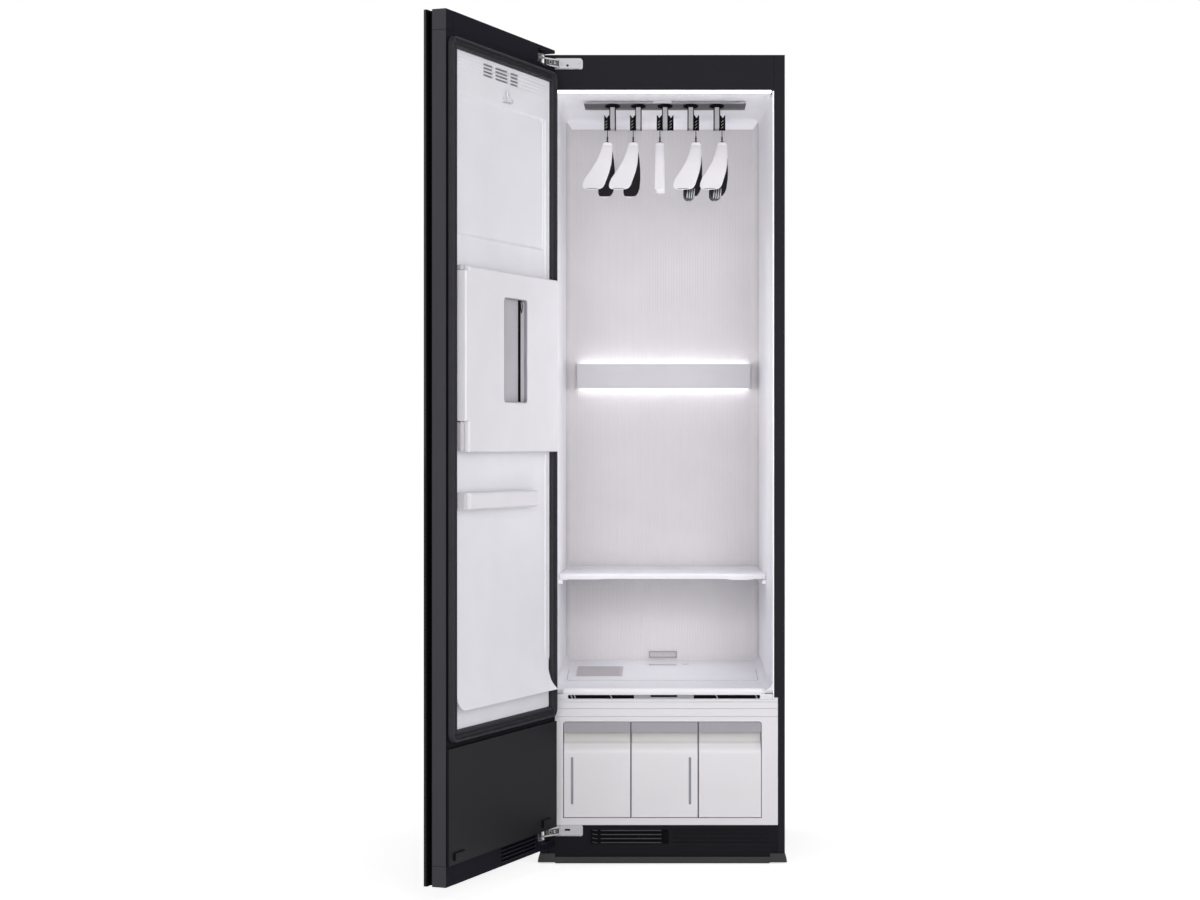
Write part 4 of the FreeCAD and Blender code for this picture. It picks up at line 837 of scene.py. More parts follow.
def kick_vent():
    """Vent cover: thin bright-edged slats over a near-black backing of painted shade, short ticks at its
    left, a latch at its right.
    """
    low, high = box("kick_vent_cover")
    left, right = low.x, high.x
    floor, top = 46.4, 81.6
    form = Form()
    # near-black backing paints the shade inside the vent behind the slats
    form.slab("xz", [rounded(left, floor, right, top, 2)], 5, 7, 0.4)
    form.look = 1
    for row in range(4):
        level = 48.6 + 9.8 * row
        form.box((left + 27, 0.3, level), (right - 17, 4.2, level + 2.3), 0.7,
                 bend=lambda point: Vector((point.x, point.y, point.z - 0.3 * point.y)))
        form.box((left + 6, 0.9, level + 0.2), (left + 19, 4.2, level + 1.8), 0.5,
                 bend=lambda point: Vector((point.x, point.y, point.z + 0.18 * (left + 12 - point.x))))
    form.look = 2
    for near, bottom, far, over in ((left, floor, left + 2.6, top), (left, top - 1.6, right, top),
                                    (left, floor, right, floor + 1.6)):
        form.box((near, 0.6, bottom), (far, 6, over), 0.6)
    form.look = 0
    latch = [(right - 12, floor + 3), (right - 4, floor + 5), (right - 1.5, floor + 17.6),
             (right - 4, top - 5), (right - 12, top - 3), (right - 8, floor + 17.6)]
    form.slab("xz", [latch], -0.6, 6, 0.8)
    form.look = 3
    for level in (78.2, 67.3, 56.1, 46, 31.8):
        form.box((right + 6, -0.5, level - 0.9), (262, 1, level + 0.9), 0.4)
    piece(form, "kick_vent_slats", [NEAR_BLACK_AND_PAINTED_SHADE, SLAT_GREY, KICK_BLACK, PANEL_BLACK],
          stands_for=["kick_vent_cover"])


# ---------------------------------------------------------------- hinges

def helix(form, start, end, radius, wire, turns):
    """Coil spring along a line parallel to an axis, as one open swept wire."""
    steps, sides = turns * 14, 8
    rings = []
    start, end = Vector(start), Vector(end)
    axis = (end - start).normalized()
    side = axis.orthogonal().normalized()
    other = axis.cross(side)
    for step in range(steps + 1):
        angle = 2 * math.pi * turns * step / steps
        out = side * math.cos(angle) + other * math.sin(angle)
        centre = start.lerp(end, step / steps) + out * radius
        rings.append([centre + (out * math.cos(turn) + axis * math.sin(turn)) * wire
                      for turn in (2 * math.pi * n / sides for n in range(sides))])
    form.loft(rings)


HINGE_X, HINGE_Y = (value / MM for value in JOINTS["door_swing"]["pos_m"][:2])
HINGE_LEVELS = (79, 1938)


def hinge_plate(form, level, hole, corner, bowed):
    """Plate with a rolled lower edge, two screws and a hole, which is a bowed slot in the lower hinge."""
    def curve(point):
        sag = 0.0075 * (point.x + 230) ** 2 if bowed and abs(point.z - level) < 7 and point.x < -220 else 0
        return Vector((point.x, point.y, point.z - sag))
    plate = rounded(-261, level - 13.5, -193, level + 13.5, (2, 5, corner, 2))
    form.slab("xz", [plate, [(x, level + z) for x, z in hole]], -3, 0, 0.6, bend=curve)
    form.rod((-259, -3, level - 12), (-199, -3, level - 12), 1.4, 0.6, 14)
    for x, size in ((-243, 3.6), (-201, 3.4)):
        form.rod((x, -4.2, level + 1), (x, -2.5, level + 1), size, 0.5)
        form.box((x - size + 0.8, -4.7, level + 0.4), (x + size - 0.8, -4, level + 1.6), 0.1)


def hinge_link(form, level):
    """Two thick links with a core between them, a large and a small boss on their edge, and three pins."""
    form.look = 1
    link_shape = [(-262, -2), (-248, -3), (-252, -9), (HINGE_X + 9, HINGE_Y + 1), (HINGE_X + 3, HINGE_Y - 6),
                  (HINGE_X - 5, HINGE_Y - 4), (HINGE_X - 6, HINGE_Y + 5)]
    bore = circle(HINGE_X, HINGE_Y, 4.15, 12)
    for low, high in ((-9.8, -6.2), (6.2, 9.8)):
        form.slab("xy", [link_shape, bore], level + low, level + high, 1.2)
    form.look = 3
    core = [(-263, -3), (-250.5, -4), (-254, -9.5), (HINGE_X + 8, HINGE_Y + 2.5), (HINGE_X + 5, HINGE_Y + 6),
            (-275, -20)]
    form.slab("xy", [core], level - 6.6, level + 6.6, 1.0)
    edge_end, edge_way = Vector((-252, -9, level)), Vector((-27.3, -28.1, 0))
    outward = Vector((0.717, -0.697, 0))
    for share, size, look in ((0.7, 5.4, 0), (0.3, 3.2, 1)):
        boss = edge_end + edge_way * share
        form.look = look
        form.rod(boss - outward * 3, boss + outward * 1.2, size, 0.7)
        # a small dark disc of painted shade at each boss's centre
        form.look = 2
        form.rod(boss + outward * 0.8, boss + outward * 1.5, size * 0.5, 0.1)
    form.look = 0
    for x, y in ((-258, -7.5), (-266, -14), (-276, -24)):
        form.rod((x, y, level - 10.6), (x, y, level + 10.6), 2.6, 0.7, 18)


def hinge_arms():
    """Cabinet halves of the hinges: on each level a plate and the links that carry the door's pin."""
    form = Form()
    holes = rounded(-237, -0.4, -223, 4.4, 2.3), circle(-230, -4, 3, 18)
    for level, hole, corner, bowed in zip(HINGE_LEVELS, holes, (5, 8), (True, False)):
        hinge_plate(form, level, hole, corner, bowed)
        hinge_link(form, level)
    piece(form, "hinge_plates_and_links", [NICKEL, LINK_STEEL, PAINTED_GAP_SHADE, CORE_STEEL],
          stands_for=["hinge_arms", "hinge_screws"])


def hinge_cups():
    """Door halves: a pressed cup with two shaped ears, the pin with rolled heads and its spring."""
    form = Form()
    half, ear_low = 17.4, 14.6
    ear = [(-296, -46.5), (-238, -46.5), (-244, -40), (-262, -37), (-276, -33), (-288, -31.4), (-295, -34)]
    for level in HINGE_LEVELS:
        form.slab("xz", [rounded(-296, level - half, -205, level + half, 3)], -47.6, -45.8, 0.5)
        for low, high in ((-17.2, -ear_low), (ear_low, 17.2)):
            form.slab("xy", [ear], level + low, level + high, 0.5)
        form.rod((HINGE_X, HINGE_Y, level - half), (HINGE_X, HINGE_Y, level + half), 3.9, 0.8)
        form.rod((-256, -42, level - 15), (-256, -42, level + 15), 2.4, 0.5, 16)
        helix(form, (-256, -42, level - 12), (-256, -42, level + 12), 4.2, 0.9, 8)
        for x in (-222, -212):
            form.rod((x, -46.2, level), (x, -44.6, level), 4.2, 0.6)
    piece(form, "hinge_cups_and_springs", [LINK_STEEL], body="door", stands_for=["hinge_cups"])


# ---------------------------------------------------------------- door

DOOR_FACE = -10


def door_liner():
    """Thermoformed liner: plain rim, grooved vent band, a sunk field with round corners, a side step."""
    low, high = Vector((-260.5, -14, 388)), Vector((260.5, DOOR_FACE, 1883))
    vents = ((-87, -42), (-31, 40), (51, 104))
    slot_rows, slot_high = [1844.7 + 8 * row for row in range(4)], 5.2
    field_left, field_low, field_right, field_high = -235, 1475, 256, 1792
    side_step, foot_top, foot_depth = -241, 500, 1.8
    groove_depth, field_depth, bead_high = 0.9, 3.4, 1.2
    across = spread(low.x, low.x + 6, 6) + spread(side_step - 3, side_step + 3, 6)
    across += [x for pair in vents for x in pair] + [-180, -150, 150, 200]
    across += spread(field_left, field_left + 7, 7) + spread(-226, -205, 5) + spread(225, 245, 5)
    across += spread(field_right - 7, field_right, 7) + spread(high.x - 4, high.x, 4)
    up = spread(low.z, low.z + 6, 5) + [420, 470] + spread(foot_top, 540, 6) + [900, 1300]
    up += spread(1469, 1483, 14) + spread(1490, 1505, 4) + [1600, 1760] + spread(1764, 1780, 4)
    up += spread(1783, 1796, 13) + [1815] + spread(high.z - 6, high.z, 6)
    for row in slot_rows:
        up += [row - 1.2, row, row + slot_high / 2, row + slot_high, row + slot_high + 1.2]
    across, up = sorted(set(across)), sorted(set(up))

    def inside_field(x, z, corner=18):
        """Distance from a point to the rim of the sunk field, positive inside it."""
        a = abs(x - (field_left + field_right) / 2) - (field_right - field_left) / 2 + corner
        b = abs(z - (field_low + field_high) / 2) - (field_high - field_low) / 2 + corner
        return corner - math.hypot(max(a, 0), max(b, 0)) - min(max(a, b), 0)

    def front(x, z):
        sunk = field_depth * smooth_step(inside_field(x, z) / 7)
        lower = foot_depth
        if z > foot_top:
            lower *= smooth_step((x - side_step + 3) / 6) * (1 - smooth_step((z - 1783) / 8))
        ridge = 0.9 * max(0, 1 - abs(z - field_low) / 4) if field_left < x < field_right - 6 else 0
        in_row = any(row <= z <= row + slot_high for row in slot_rows)
        groove = groove_depth if abs(x) < 248 and in_row else 0
        rim = min(x - low.x, high.x - x, high.z - z, z - low.z)
        bead = bead_high * (1 - smooth_step(rim / 5))
        return DOOR_FACE - max(sunk, lower) + ridge - groove + bead

    def hole(x, z):
        return any(a < x < b for a, b in vents) and any(row < z < row + slot_high for row in slot_rows)
    form = Form()
    form.relief(across, up, front, -15, hole)
    # a near-black sheet behind the vent slots paints the shade inside them
    form.look = 1
    form.box((-92, -20, 1842), (109, -15.2, 1876), 0)
    piece(form, "door_liner_shell", [LINER_WHITE, NEAR_BLACK_AND_PAINTED_SHADE], body="door", stands_for=["door_liner"],
          smooth=50)


def drip_lip():
    """Curved lip that leaves the liner flush; one lower corner is round, the other flares to a point."""
    left, right, top = -248, 261, 534
    fall, reach, thick, corner = 104, 22.7, 2.2, 20
    start = DOOR_FACE - 1.75
    radius = (reach ** 2 + fall ** 2) / (2 * reach)
    end_angle = math.asin(fall / radius)
    columns = spread(left, left + 36, 12) + spread(left + 60, right - corner, 6)[1:]
    columns += spread(right - corner, right, 10)[1:]
    shares = spread(0, 1, 20)

    def point(x, share, depth):
        into = max(0, x - (right - corner))
        full = end_angle - (corner - math.sqrt(corner ** 2 - into ** 2)) / radius
        angle = full * share
        distance = radius + depth
        flare = smooth_step((left + 34 - x) / 34) * max(0, (share - 0.76) / 0.24) ** 1.3
        return (x - 4 * flare, start + radius - distance * math.cos(angle) + 6 * flare,
                top - distance * math.sin(angle) + 1.5 * flare)
    near = [[point(x, share, 0) for share in shares] for x in columns]
    far = [[point(x, share, thick * min(1, 0.04 + 4 * share)) for share in shares] for x in columns]
    form = Form()
    form.sheet(near, far)
    piece(form, "drip_lip", [LINER_WHITE], body="door", stands_for=["door_liner"], smooth=50, flat=False)


def gasket():
    """Door seal: an outer magnet bulb, a groove and a tall inner bellows."""
    low, high = door_box("door_gasket")
    half = 12.5
    outline = rounded(low.x + half, low.z + half, high.x - half, high.z - half, 8)
    path = [(x, DOOR_FACE, z) for x, z in outline]
    profile = [(half, 0), (half, 2.2), (11.8, 3.0), (11.8, 10), (11, 12.2), (9.2, 13.1), (7, 12.4), (6, 10.4),
               (5.5, 4), (4, 2.4), (1, 2.2), (-2, 3.6), (-5, 7), (-7.4, 10), (-9.4, 11), (-11.2, 10.2),
               (-12.2, 8), (-half, 5), (-half, 0)]
    form = Form()
    form.sweep(path, [(-out, up) for out, up in profile], (0, 1, 0), closed=True)
    seal = piece(form, "gasket_profile", [RUBBER], body="door", stands_for=["door_gasket"], smooth=50,
                 flat=False)
    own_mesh(seal)


def foot_panel():
    """Raised panel at the door's foot, with two bumper pads on it edged by an L of painted shade, and the end
    caps of its free edge.
    """
    face = -4.7
    form = Form()
    form.slab("xz", [rounded(-296, 95, 293, 350, 3)], -13, face, 1.0, 3, both=False)
    piece(form, "foot_panel", [PANEL_BLACK], body="door", stands_for=["door_lower_panel"])
    form = Form()
    for low, high in ((49, 94.6), (1918.4, 1964)):
        form.box((261.4, -43.9, low), (297, DOOR_FACE, high), 0.5)
    for left, right, low, high in ((219, 269, 104, 121), (-253, -209, 105, 123)):
        form.look = 1
        form.slab("xz", [rounded(left + 1, low, right - 1.6, high - 1.2, 3)], face - 0.5, face + 3.6, 1.2)
        # an L-shaped near-black strip along each pad's top and one side paints the shade at its rim
        form.look = 2
        inner_x, inner_z = right - 2.2, high - 1.8
        shade_outline = [(inner_x, low), (right, low), (right, high), (left, high), (left, inner_z),
                      (inner_x, inner_z)]
        form.slab("xz", [shade_outline], face - 0.5, face + 3.9, 0.3)
    piece(form, "door_caps_and_bumper_pads", [FRAME_BLACK, PANEL_BLACK, NEAR_BLACK_AND_PAINTED_SHADE], body="door",
          stands_for=["door_caps_and_bumpers"])


def door_trim():
    """Lighter black strip along the door's free edge that paints the light on that face, a dark seat round
    the seal that paints the shade at its edges, and the foot vent's lips.
    """
    form = Form()
    # the lighter black strip paints the light falling on the free edge's face
    for low, high in ((49.2, 94.4), (95.2, 1917.8), (1918.6, 1963.8)):
        form.box((296.6, -43.6, low), (297.35, DOOR_FACE - 0.2, high), 0.25)
    form.look = 1
    for row in range(4):
        level = 59 + 9 * row
        form.box((-184, DOOR_FACE - 0.4, level - 1.6), (12, DOOR_FACE + 1.2, level - 0.4), 0.4)
    # a near-black ring round the seal and thin lines beside the edge caps paint the shade at those edges
    form.look = 2
    seat = [rounded(-296.4, 350.6, 296.4, 1923, 2), rounded(-286.2, 355.6, 286.2, 1920.6, 2)]
    form.slab("xz", seat, DOOR_FACE - 0.6, DOOR_FACE + 0.3, 0.1)
    for low, high in ((51, 94), (1919, 1962)):
        form.box((260.6, DOOR_FACE - 0.4, low), (261.4, DOOR_FACE + 0.2, high), 0.1)
    piece(form, "door_trim", [EDGE_BLACK_PAINTED_LIGHT, BLACK_PLASTIC, NEAR_BLACK_AND_PAINTED_SHADE], body="door")


def press():
    """Press panel: one shell with a hinge post at its side and a rounded window that shows the pad."""
    left, right, low, high, back, front = -253, 253.6, 998, 1406, -6, 18
    post, notch, cap, wall = 236, 1066, 1397, 3

    def outline(inward):
        """The panel's outline, moved inward."""
        sides = left + inward, right - inward, post - inward
        levels = low + inward, notch + inward, cap - inward, high - inward
        corners = ((0, 0), (2, 0), (2, 1), (1, 1), (1, 2), (2, 2), (2, 3), (0, 3))
        return [(sides[a], levels[b]) for a, b in corners]
    form = Form()
    form.slab("xz", [outline(0), rounded(-74, 1111, 53, 1348, 8)], front, front - 6, 3.2, 4, both=False)
    form.slab("xz", [outline(0), outline(wall)], back, front - 5.6, 0.4)
    form.look = 1
    opening = rounded(-72.6, 1112.4, 51.6, 1346.6, 7)
    form.slab("xz", [rounded(-79, 1106, 58, 1353, 10), opening], 10.2, front - 4, 0.3)
    form.slab("xz", [rounded(-74.4, 1110.6, 53.4, 1348.4, 8), opening], 10.2, front - 0.5, 0.2)
    piece(form, "press_shell", [PRESS_WHITE, SLOT_GREY], body="press", stands_for=["press_panel"])


def press_pad():
    """Sprung pad behind the window: two ribbed halves, a strip of painted shade in the seam between them and
    a pull loop.
    """
    low, high = door_box("press_pad")
    seam, gap = -40, 2.4
    rib, slope, pitch, groove_depth = 1.6, 0.8, 5.6, 0.9
    form = Form()
    for left, right in ((low.x, seam - gap), (seam + gap, high.x)):
        across = [left]
        place = left + 3
        while place < right - 3:
            across += [place, place + rib, place + rib + slope, place + 2 * rib + slope]
            place += pitch
        across.append(right)

        def front(x, z, across=across):
            in_groove = across.index(x) % 4 in (2, 3) and across[0] < x < across[-1]
            return high.y - (groove_depth if in_groove else 0)
        form.relief(across, [low.z, high.z], front, low.y)
    # a dark strip in the seam paints the shade of the step between the halves
    form.look = 1
    form.box((seam - 1.4, low.y, low.z), (seam + 1.4, high.y + 5.4, high.z), 0.6)
    loop = ((-6, 1346), (-14, 1344), (-18, 1334), (-13, 1318), (-9, 1328), (-7, 1340))
    form.wire([(seam + x, high.y + 2.4, z) for x, z in loop], 0.9, (0, 1, 0))
    piece(form, "press_pad_ribbed", [PAD_GREY, PAINTED_GAP_SHADE], body="press", stands_for=["press_pad"])


def tension_bar():
    """Bar across the liner that holds trouser legs: a long rounded blade with four pads at its back."""
    left, right, low, high = -140, 222, 870, 908
    form = Form()
    section = [(-6, low), (8, low), (12.5, low + 1.5), (15, low + 5), (15, high - 6), (13, high - 2),
               (9, high), (-6, high)]
    form.slab("yz", [section], left, right, 1.0)
    for x in spread(left + 40, right - 40, 3):
        form.box((x - 14, -6.8, low + 16), (x + 14, -5.5, high - 6), 0.4)
    piece(form, "tension_blade", [PRESS_WHITE], body="trouser_bar", stands_for=["tension_bar"])


def fold_hook():
    """Small white hook that folds out: an open loop on a short stem."""
    axis, depth = 1804.5, -3.4
    form = Form()
    loop = arc(-15, axis + 13.8, 9, -60, 210, 16, 7.4)
    form.wire([(x, depth, z) for x, z in [(-15, axis), (-11, axis + 4)] + loop], 2.1, (0, 1, 0))
    form.box((-31, -5.6, axis - 2.4), (1, -1.6, axis + 2.4), 1.6)
    piece(form, "fold_out_loop", [PRESS_WHITE], body="trouser_hook", stands_for=["fold_hook"])


# ---------------------------------------------------------------- rail, holders and hangers

RAIL_Y, NECK_LEVEL, TIP_LEVEL, HANGER_REACH, MIDDLE = 180, 1758, 1648, 150, 6.8

# Of each hanger: its holder's place, its peg's side, whether it is broad and whether it has clips.
HANGERS = (
    (-124.5, -1, True, False),
    (-60.0, -1, True, False),
    (MIDDLE, -1, False, False),
    (70.8, 1, True, True),
    (136.0, 1, True, True),
)

# Stations of a shoulder, as shares of its reach and fall: along, drop; half width, half height, lean in
# degrees; and how far a contoured front or rear shoulder sways to the side.
SHOULDER = (
    (-0.1, 0.0, 9, 9.5, 90, 0, 0),
    (-0.085, 0.0, 12, 12, 90, 0, 0),
    (-0.06, 0.0, 13.2, 13, 90, 0, 0),
    (0.05, 0.02, 13.4, 13, 86, 0, 0),
    (0.28, 0.2, 15.5, 13.5, 70, -2.5, 1.6),
    (0.5, 0.42, 19, 13.5, 60, -7.5, 1),
    (0.68, 0.63, 23, 13, 54, -16, -1.5),
    (0.86, 0.84, 26.5, 12, 49, -26.5, -6),
    (0.95, 0.94, 26.8, 11, 46, -30, -8),
    (1.0, 1.0, 25.5, 9.4, 45, -32, -9.4),
    (1.03, 1.035, 22.5, 7.4, 44, -33, -10),
    (1.05, 1.06, 17, 5, 43, -33.5, -10.4),
    (1.058, 1.075, 8, 2.4, 43, -34, -10.6),
)


def rail():
    """Dark bar with a paler lip along its top, an ellipse of painted shadow round each holder and the pale
    linkage above it.
    """
    form = Form()
    bar = [(-193, 1853), (206, 1853), (209, 1867), (-196, 1867)]
    form.slab("xz", [bar], RAIL_Y - 12, RAIL_Y + 12, 1.2)
    form.look = 1
    form.box((-194, RAIL_Y - 12.6, 1864.2), (207, RAIL_Y - 11, 1866.6), 0.4)
    # a near-black ellipse at each holder paints the shadow round it
    form.look = 2
    for place, *_ in HANGERS:
        form.slab("xz", [circle(place, 1859.6, 19, 24, 6.4)], RAIL_Y - 13.6, RAIL_Y - 11, 0.4)
    form.look = 3
    form.box((-24, RAIL_Y - 6, 1866.4), (24, RAIL_Y + 6, 1884), 0.6)
    form.box((-30, RAIL_Y - 14, 1882), (30, RAIL_Y + 14, 1888), 1)
    form.slab("xz", [rounded(20, 1884, 152, 1888, 1.5)], RAIL_Y - 4, RAIL_Y + 4, 0.5)
    piece(form, "rail_bar", [RAIL_GREY, RAIL_EDGE, NEAR_BLACK_AND_PAINTED_SHADE, CHAMBER_WHITE], body="rail",
          stands_for=["hanger_rail"])


def holders():
    """Five holders: a pale ribbed tongue between thin dark cheeks, and a guard beside each peg."""
    form = Form()
    for place, side, *_ in HANGERS:
        form.look = 0
        for tip, near, far in ((1801.2, RAIL_Y - 20, RAIL_Y - 12.5), (1801.8, RAIL_Y - 13, RAIL_Y + 20)):
            tongue = rounded(place - 5.6, tip, place + 5.6, 1856, (4.6, 4.6, 1, 1))
            form.slab("xz", [tongue], near, far, 0.8)
        for x in (place - 2.2, place + 2.2):
            form.box((x - 0.7, RAIL_Y - 20.7, 1806), (x + 0.7, RAIL_Y - 19.5, 1852), 0.3)
        for one in ((-1, 1) if place == MIDDLE else (side,)):
            guard(form, place, one)
        form.look = 1
        cheek = rounded(RAIL_Y - 19, 1800.6, RAIL_Y + 19, 1853.2, (7, 7, 1, 1))
        for near, far in ((-8, -5.7), (5.7, 8)):
            form.slab("yz", [cheek], place + near, place + far, 0.3)
    piece(form, "hanger_holder_set", [HOLDER_GREY, NEAR_BLACK_AND_PAINTED_SHADE], body="rail",
          stands_for=["hanger_holders"])


def guard(form, place, side):
    """Peg for one hook behind a black guard plate with pale slanted ribs and a notched top."""
    near, far = place + side * 8, place + side * 18.6
    form.look = 0
    form.rod((near, RAIL_Y, 1815), (far, RAIL_Y, 1815), 4, 0.4, 20)
    form.look = 1
    cheek = rounded(RAIL_Y - 10, 1800.6, RAIL_Y + 10, 1836, (3, 3, 1, 1))
    low, high = sorted((far, place + side * 21))
    form.slab("yz", [cheek], low, high, 0.5)
    left, right = sorted((near, place + side * 21))
    middle, bottom, top = (left + right) / 2, 1799, 1837
    plate = [(left, bottom), (right, bottom), (right, top), (right - 1.5, top), (middle, top - 7),
             (left + 1.5, top), (left, top)]
    form.slab("xz", [plate], RAIL_Y - 13.5, RAIL_Y - 10.5, 0.5)
    form.look = 0
    for level in (1803.5, 1811, 1818.5):
        rib = [(middle - 3.4, level), (middle + 1.6, level + 4.6), (middle + 1.6, level + 6),
               (middle - 3.4, level + 1.4)]
        form.slab("xz", [rib], RAIL_Y - 14.1, RAIL_Y - 13, 0.2)


def limb_rings(x, way, contoured):
    """Rings along one shoulder, from the boxy neck out and down to a broad, rounded tip."""
    sides, groove = 32, range(19, 30)
    rings = []
    for along, drop, broad, deep, lean, ahead, behind in SHOULDER:
        sway = (ahead if way < 0 else behind) if contoured else 1.5 * way * along
        across = broad if way < 0 else 13 + (broad - 13) * 0.65 - 4 * max(0, along - 0.9) / 0.1
        if not contoured:
            across = min(11, broad)
        lift = -3 * along if way < 0 else (10 if contoured else 20) * along
        lean = math.radians(lean) * way
        level = NECK_LEVEL - (NECK_LEVEL - TIP_LEVEL) * drop + lift
        centre = Vector((x + sway, RAIL_Y + way * HANGER_REACH * along, level))
        ring = []
        for step in range(sides):
            angle = 2 * math.pi * step / sides
            wide = math.copysign(abs(math.cos(angle)) ** 0.62, math.cos(angle))
            tall = math.copysign(abs(math.sin(angle)) ** 0.8, math.sin(angle))
            if step in groove:
                tall *= 0.6
            rise = deep * tall
            ring.append(centre + Vector((across * wide, rise * math.cos(lean), rise * math.sin(lean) * way)))
        rings.append(ring)
    return rings


def hanger_body(form, x, contoured):
    """Two shoulders; the undersides of a broad hanger are dark channels inside a pale rim."""
    for way in (-1, 1):
        rings = limb_rings(x, way, contoured)
        last = len(rings) - 3
        form.loft(rings, look_of=lambda i, j: 1 if contoured and 18 <= j <= 29 and 3 <= i < last else 0)


def hook(form, x):
    """Steel hook over the peg, with the knob and small spread foot that hold it in the hanger's neck."""
    centre, bend = 1813.5, 7.2
    crook = [(x, y, z) for z, y in arc(centre, RAIL_Y, bend, -125, 170, 22)]
    stem = [(x, RAIL_Y, 1764), (x, RAIL_Y, 1798), (x, RAIL_Y + 1, centre - bend - 2)]
    form.wire(stem + crook[::-1], 1.0, (1, 0, 0))
    knob = ((1.2, 1786), (2, 1783), (2.2, 1778), (1.5, 1775), (3.6, 1772.4), (6.4, 1770.6), (6.4, 1766))
    form.loft([[(a, b, z) for a, b in circle(x, RAIL_Y, size, 12)] for size, z in knob])


def clips(form, x):
    """Trouser bar with two sprung clips, the rear one turned up: dark jaws under bright ribs."""
    bar_x, level = x - 17, 1634
    form.look = 2
    form.rod((bar_x, RAIL_Y - 105, level), (bar_x, RAIL_Y + 80, level), 1.9, 0.6, 18)
    for y in (-68, 58):
        form.rod((bar_x, RAIL_Y + y, level), (x - 15, RAIL_Y + y * 0.9, 1680), 1.6, 0.4, 14)
    for start, foot in ((-115, 1616), (60, 1632)):
        near = RAIL_Y + start
        form.look = 3
        jaw = rounded(x - 31, foot + 0.5, x - 4, foot + 30, (12, 12, 5, 5))
        form.slab("xz", [jaw], near + 4, near + 28, 2)
        form.look = 2
        for rib in range(4):
            place = x - 25 + 5.4 * rib
            low = foot + 1.5 + abs(1.5 - rib)
            outline = [(place, low + 1), (place + 2.6, low), (place + 5, foot + 27), (place + 2.4, foot + 28)]
            form.slab("xz", [outline], near + 1.6, near + 6, 0.5)


def hangers():
    """Five hangers, each of one body, its hook and, on two of them, trouser clips."""
    looks = [HANGER_WHITE, HANGER_DARK_UNDERSIDE, WIRE_STEEL, CLIP_BLACK]
    for number, (place, side, contoured, clipped) in enumerate(HANGERS, 1):
        x = place + side * 13
        name = f"hanger_{number}"
        form = Form()
        hanger_body(form, x, contoured)
        form.look = 3
        hook(form, x)
        if clipped:
            clips(form, x)
        piece(form, name + "_body", looks, body=f"hanging_{number}", stands_for=[name], smooth=55, flat=False)


# ---------------------------------------------------------------- camera, floor and light

def camera():
    """Level camera in front of the cabinet, a little over half its height, framed off centre."""
    distance, height = 5.780, 1.0067
    focal_per_width = 2383 / 1200
    sensor = 36
    data = bpy.data.cameras.new("camera")
    data.sensor_width = sensor
    data.lens = focal_per_width * sensor
    data.shift_x = -0.052
    data.shift_y = -0.0017
    eye = bpy.data.objects.new("camera", data)
    eye.location = (0, -distance, height)
    eye.rotation_euler = (math.radians(90), 0, 0)
    SCENE.collection.objects.link(eye)
    SCENE.camera = eye


def seen_directly(material):
    """1 where a camera, glossy or transmitted ray looks at the surface, else 0."""
    path = add_node(material, "ShaderNodeLightPath")
    first = add_node(material, "ShaderNodeMath", operation="MAXIMUM")
    both = add_node(material, "ShaderNodeMath", operation="MAXIMUM")
    link(material, path, "Is Camera Ray", first, 0)
    link(material, path, "Is Glossy Ray", first, 1)
    link(material, first, 0, both, 0)
    link(material, path, "Is Transmission Ray", both, 1)
    return both


def floor():
    """Pale floor that shows almost white and keeps the cabinet's shadow."""
    half = 30
    mesh = bpy.data.meshes.new("floor")
    corners = [(-half, -half, 0), (half, -half, 0), (half, half, 0), (-half, half, 0)]
    mesh.from_pydata(corners, [], [(0, 1, 2, 3)])
    plane = bpy.data.objects.new("floor", mesh)
    SCENE.collection.objects.link(plane)
    material, base = shader("floor_pale", Roughness=0.9, Specular_IOR_Level=0.0, Emission_Color=(1, 1, 1, 1))
    tint(material, base, noise(material, 2), (0.8, 0.8, 0.8), 0.01)
    glow = add_node(material, "ShaderNodeMath", operation="MULTIPLY")
    glow.inputs[1].default_value = 0.6
    link(material, seen_directly(material), 0, glow, 0)
    link(material, glow, 0, base, "Emission Strength")
    mesh.materials.append(material)


def world():
    """White surroundings to the eye, softer as light."""
    sky = bpy.data.worlds.new("studio")
    sky.use_nodes = True
    SCENE.world = sky
    background = settle(sky.node_tree.nodes["Background"], {"Color": (1, 1, 1, 1)})
    link(sky, ranged(sky, seen_directly(sky), 0, 0.52, 1.0), "Result", background, "Strength")


def lamp(name, place, target, size, power, beam=180):
    """A rectangular lamp the camera doesn't see; metres, watts and the width of its beam in degrees."""
    data = bpy.data.lights.new(name, "AREA")
    data.shape = "RECTANGLE"
    data.size, data.size_y = size
    data.energy = power
    data.spread = math.radians(beam)
    light = bpy.data.objects.new(name, data)
    light.location = place
    light.visible_camera = False
    light.rotation_euler = (Vector(target) - Vector(place)).to_track_quat("-Z", "Y").to_euler()
    SCENE.collection.objects.link(light)


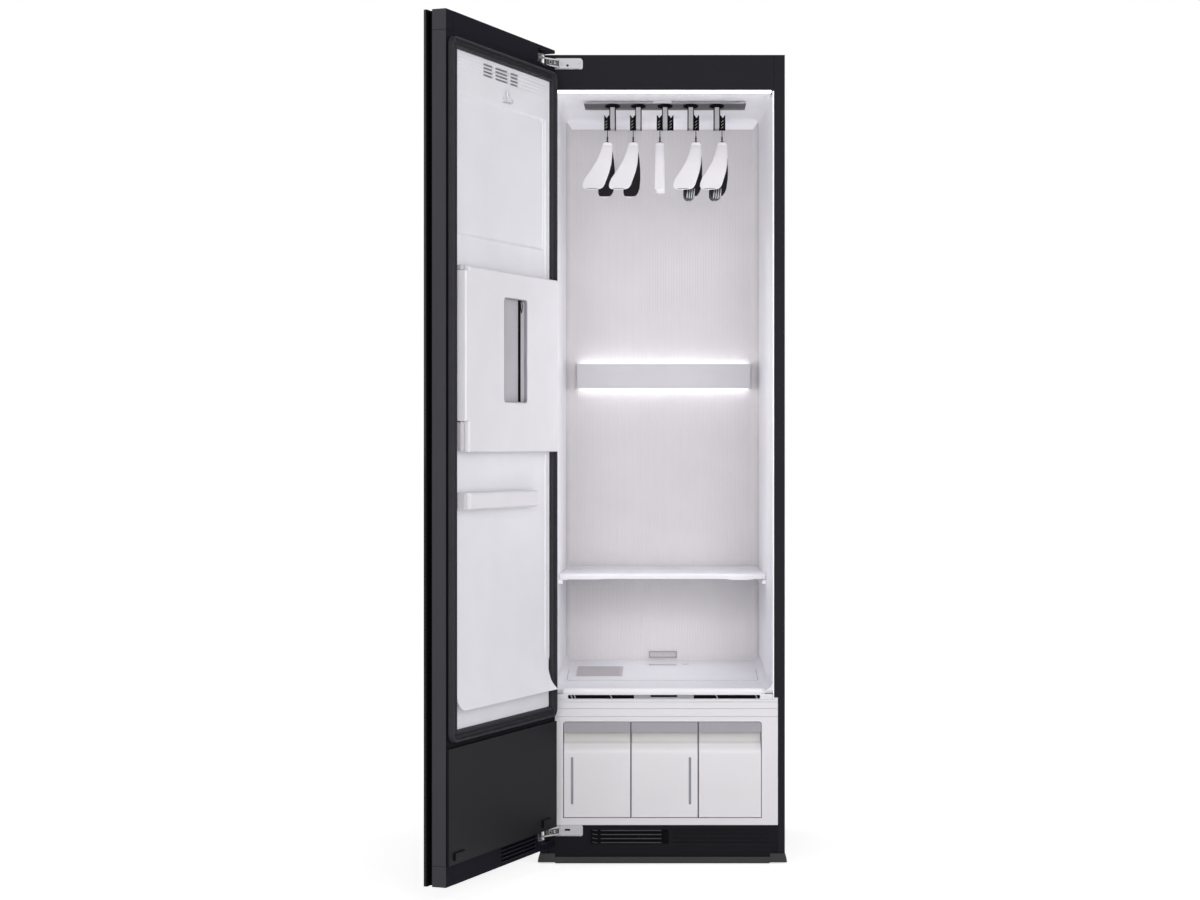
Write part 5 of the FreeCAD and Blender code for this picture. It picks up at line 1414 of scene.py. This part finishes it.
def studio():
    """Soft boxes in front and beside, two narrow fillers aimed into the chamber, four weak ones in it."""
    lamp("front_box", (0.3, -5.4, 2.2), (0, 0, 1.1), (3.4, 2.4), 85)
    lamp("low_box", (0.2, -3.4, 0.25), (0, 0.3, 1.7), (3.0, 1.2), 30)
    lamp("left_box", (-4.0, -3.0, 2.4), (-0.3, 0, 1.0), (2.2, 3.0), 32)
    lamp("right_box", (4.0, -2.2, 2.2), (0, 0, 1.0), (2.2, 3.0), 32)
    lamp("ceiling_filler", (0.05, -0.9, 0.35), (0, 0.3, 1.87), (0.5, 0.3), 0.55, 45)
    lamp("floor_filler", (0.05, -1.7, 1.45), (0, 0.2, 0.45), (0.5, 0.3), 0.12, 30)
    lamp("right_wall_filler", (0, 0.12, 1.15), (0.28, 0.12, 1.15), (0.06, 0.8), 0.18, 110)
    lamp("left_wall_filler", (0, 0.12, 1.15), (-0.28, 0.12, 1.15), (0.06, 0.8), 0.22, 110)
    lamp("shelf_filler", (0, 0.2, 1.0), (0, 0.2001, 0.69), (0.35, 0.2), 0.16, 110)
    lamp("tray_filler", (0, 0.34, 0.655), (0, 0.3401, 0.42), (0.35, 0.2), 0.15, 120)


SCENE.view_settings.view_transform = "Standard"
camera()
floor()
world()
studio()
dress_nodes()
soften(0.8, "side_panel_left", "side_panel_right", "top_panel", "front_header", "plinth",
       "chamber_side_walls", "back_light_cover", "tank_bay_frame", "door_glass", "press_base",
       "door_brackets")
soften(0.5, "kick_panel", "outlet_fittings", "door_frame")
back_wall()
ceiling()
light_strips()
chamber_floor()
air_slot()
shelf_board()
pull_out_box("supply_tank_tub", "water_tank", "supply_tank", -222, "supply_tank_cover")
pull_out_box("waste_tank_tub", "drain_tank", "waste_tank", 63.8, "waste_tank_cover")
pull_out_box("lint_box_tub", "lint_filter_box", "lint_filter")
bay_corners()
kick_vent()
hinge_arms()
hinge_cups()
door_liner()
drip_lip()
gasket()
foot_panel()
door_trim()
press()
press_pad()
tension_bar()
fold_hook()
rail()
holders()
hangers()
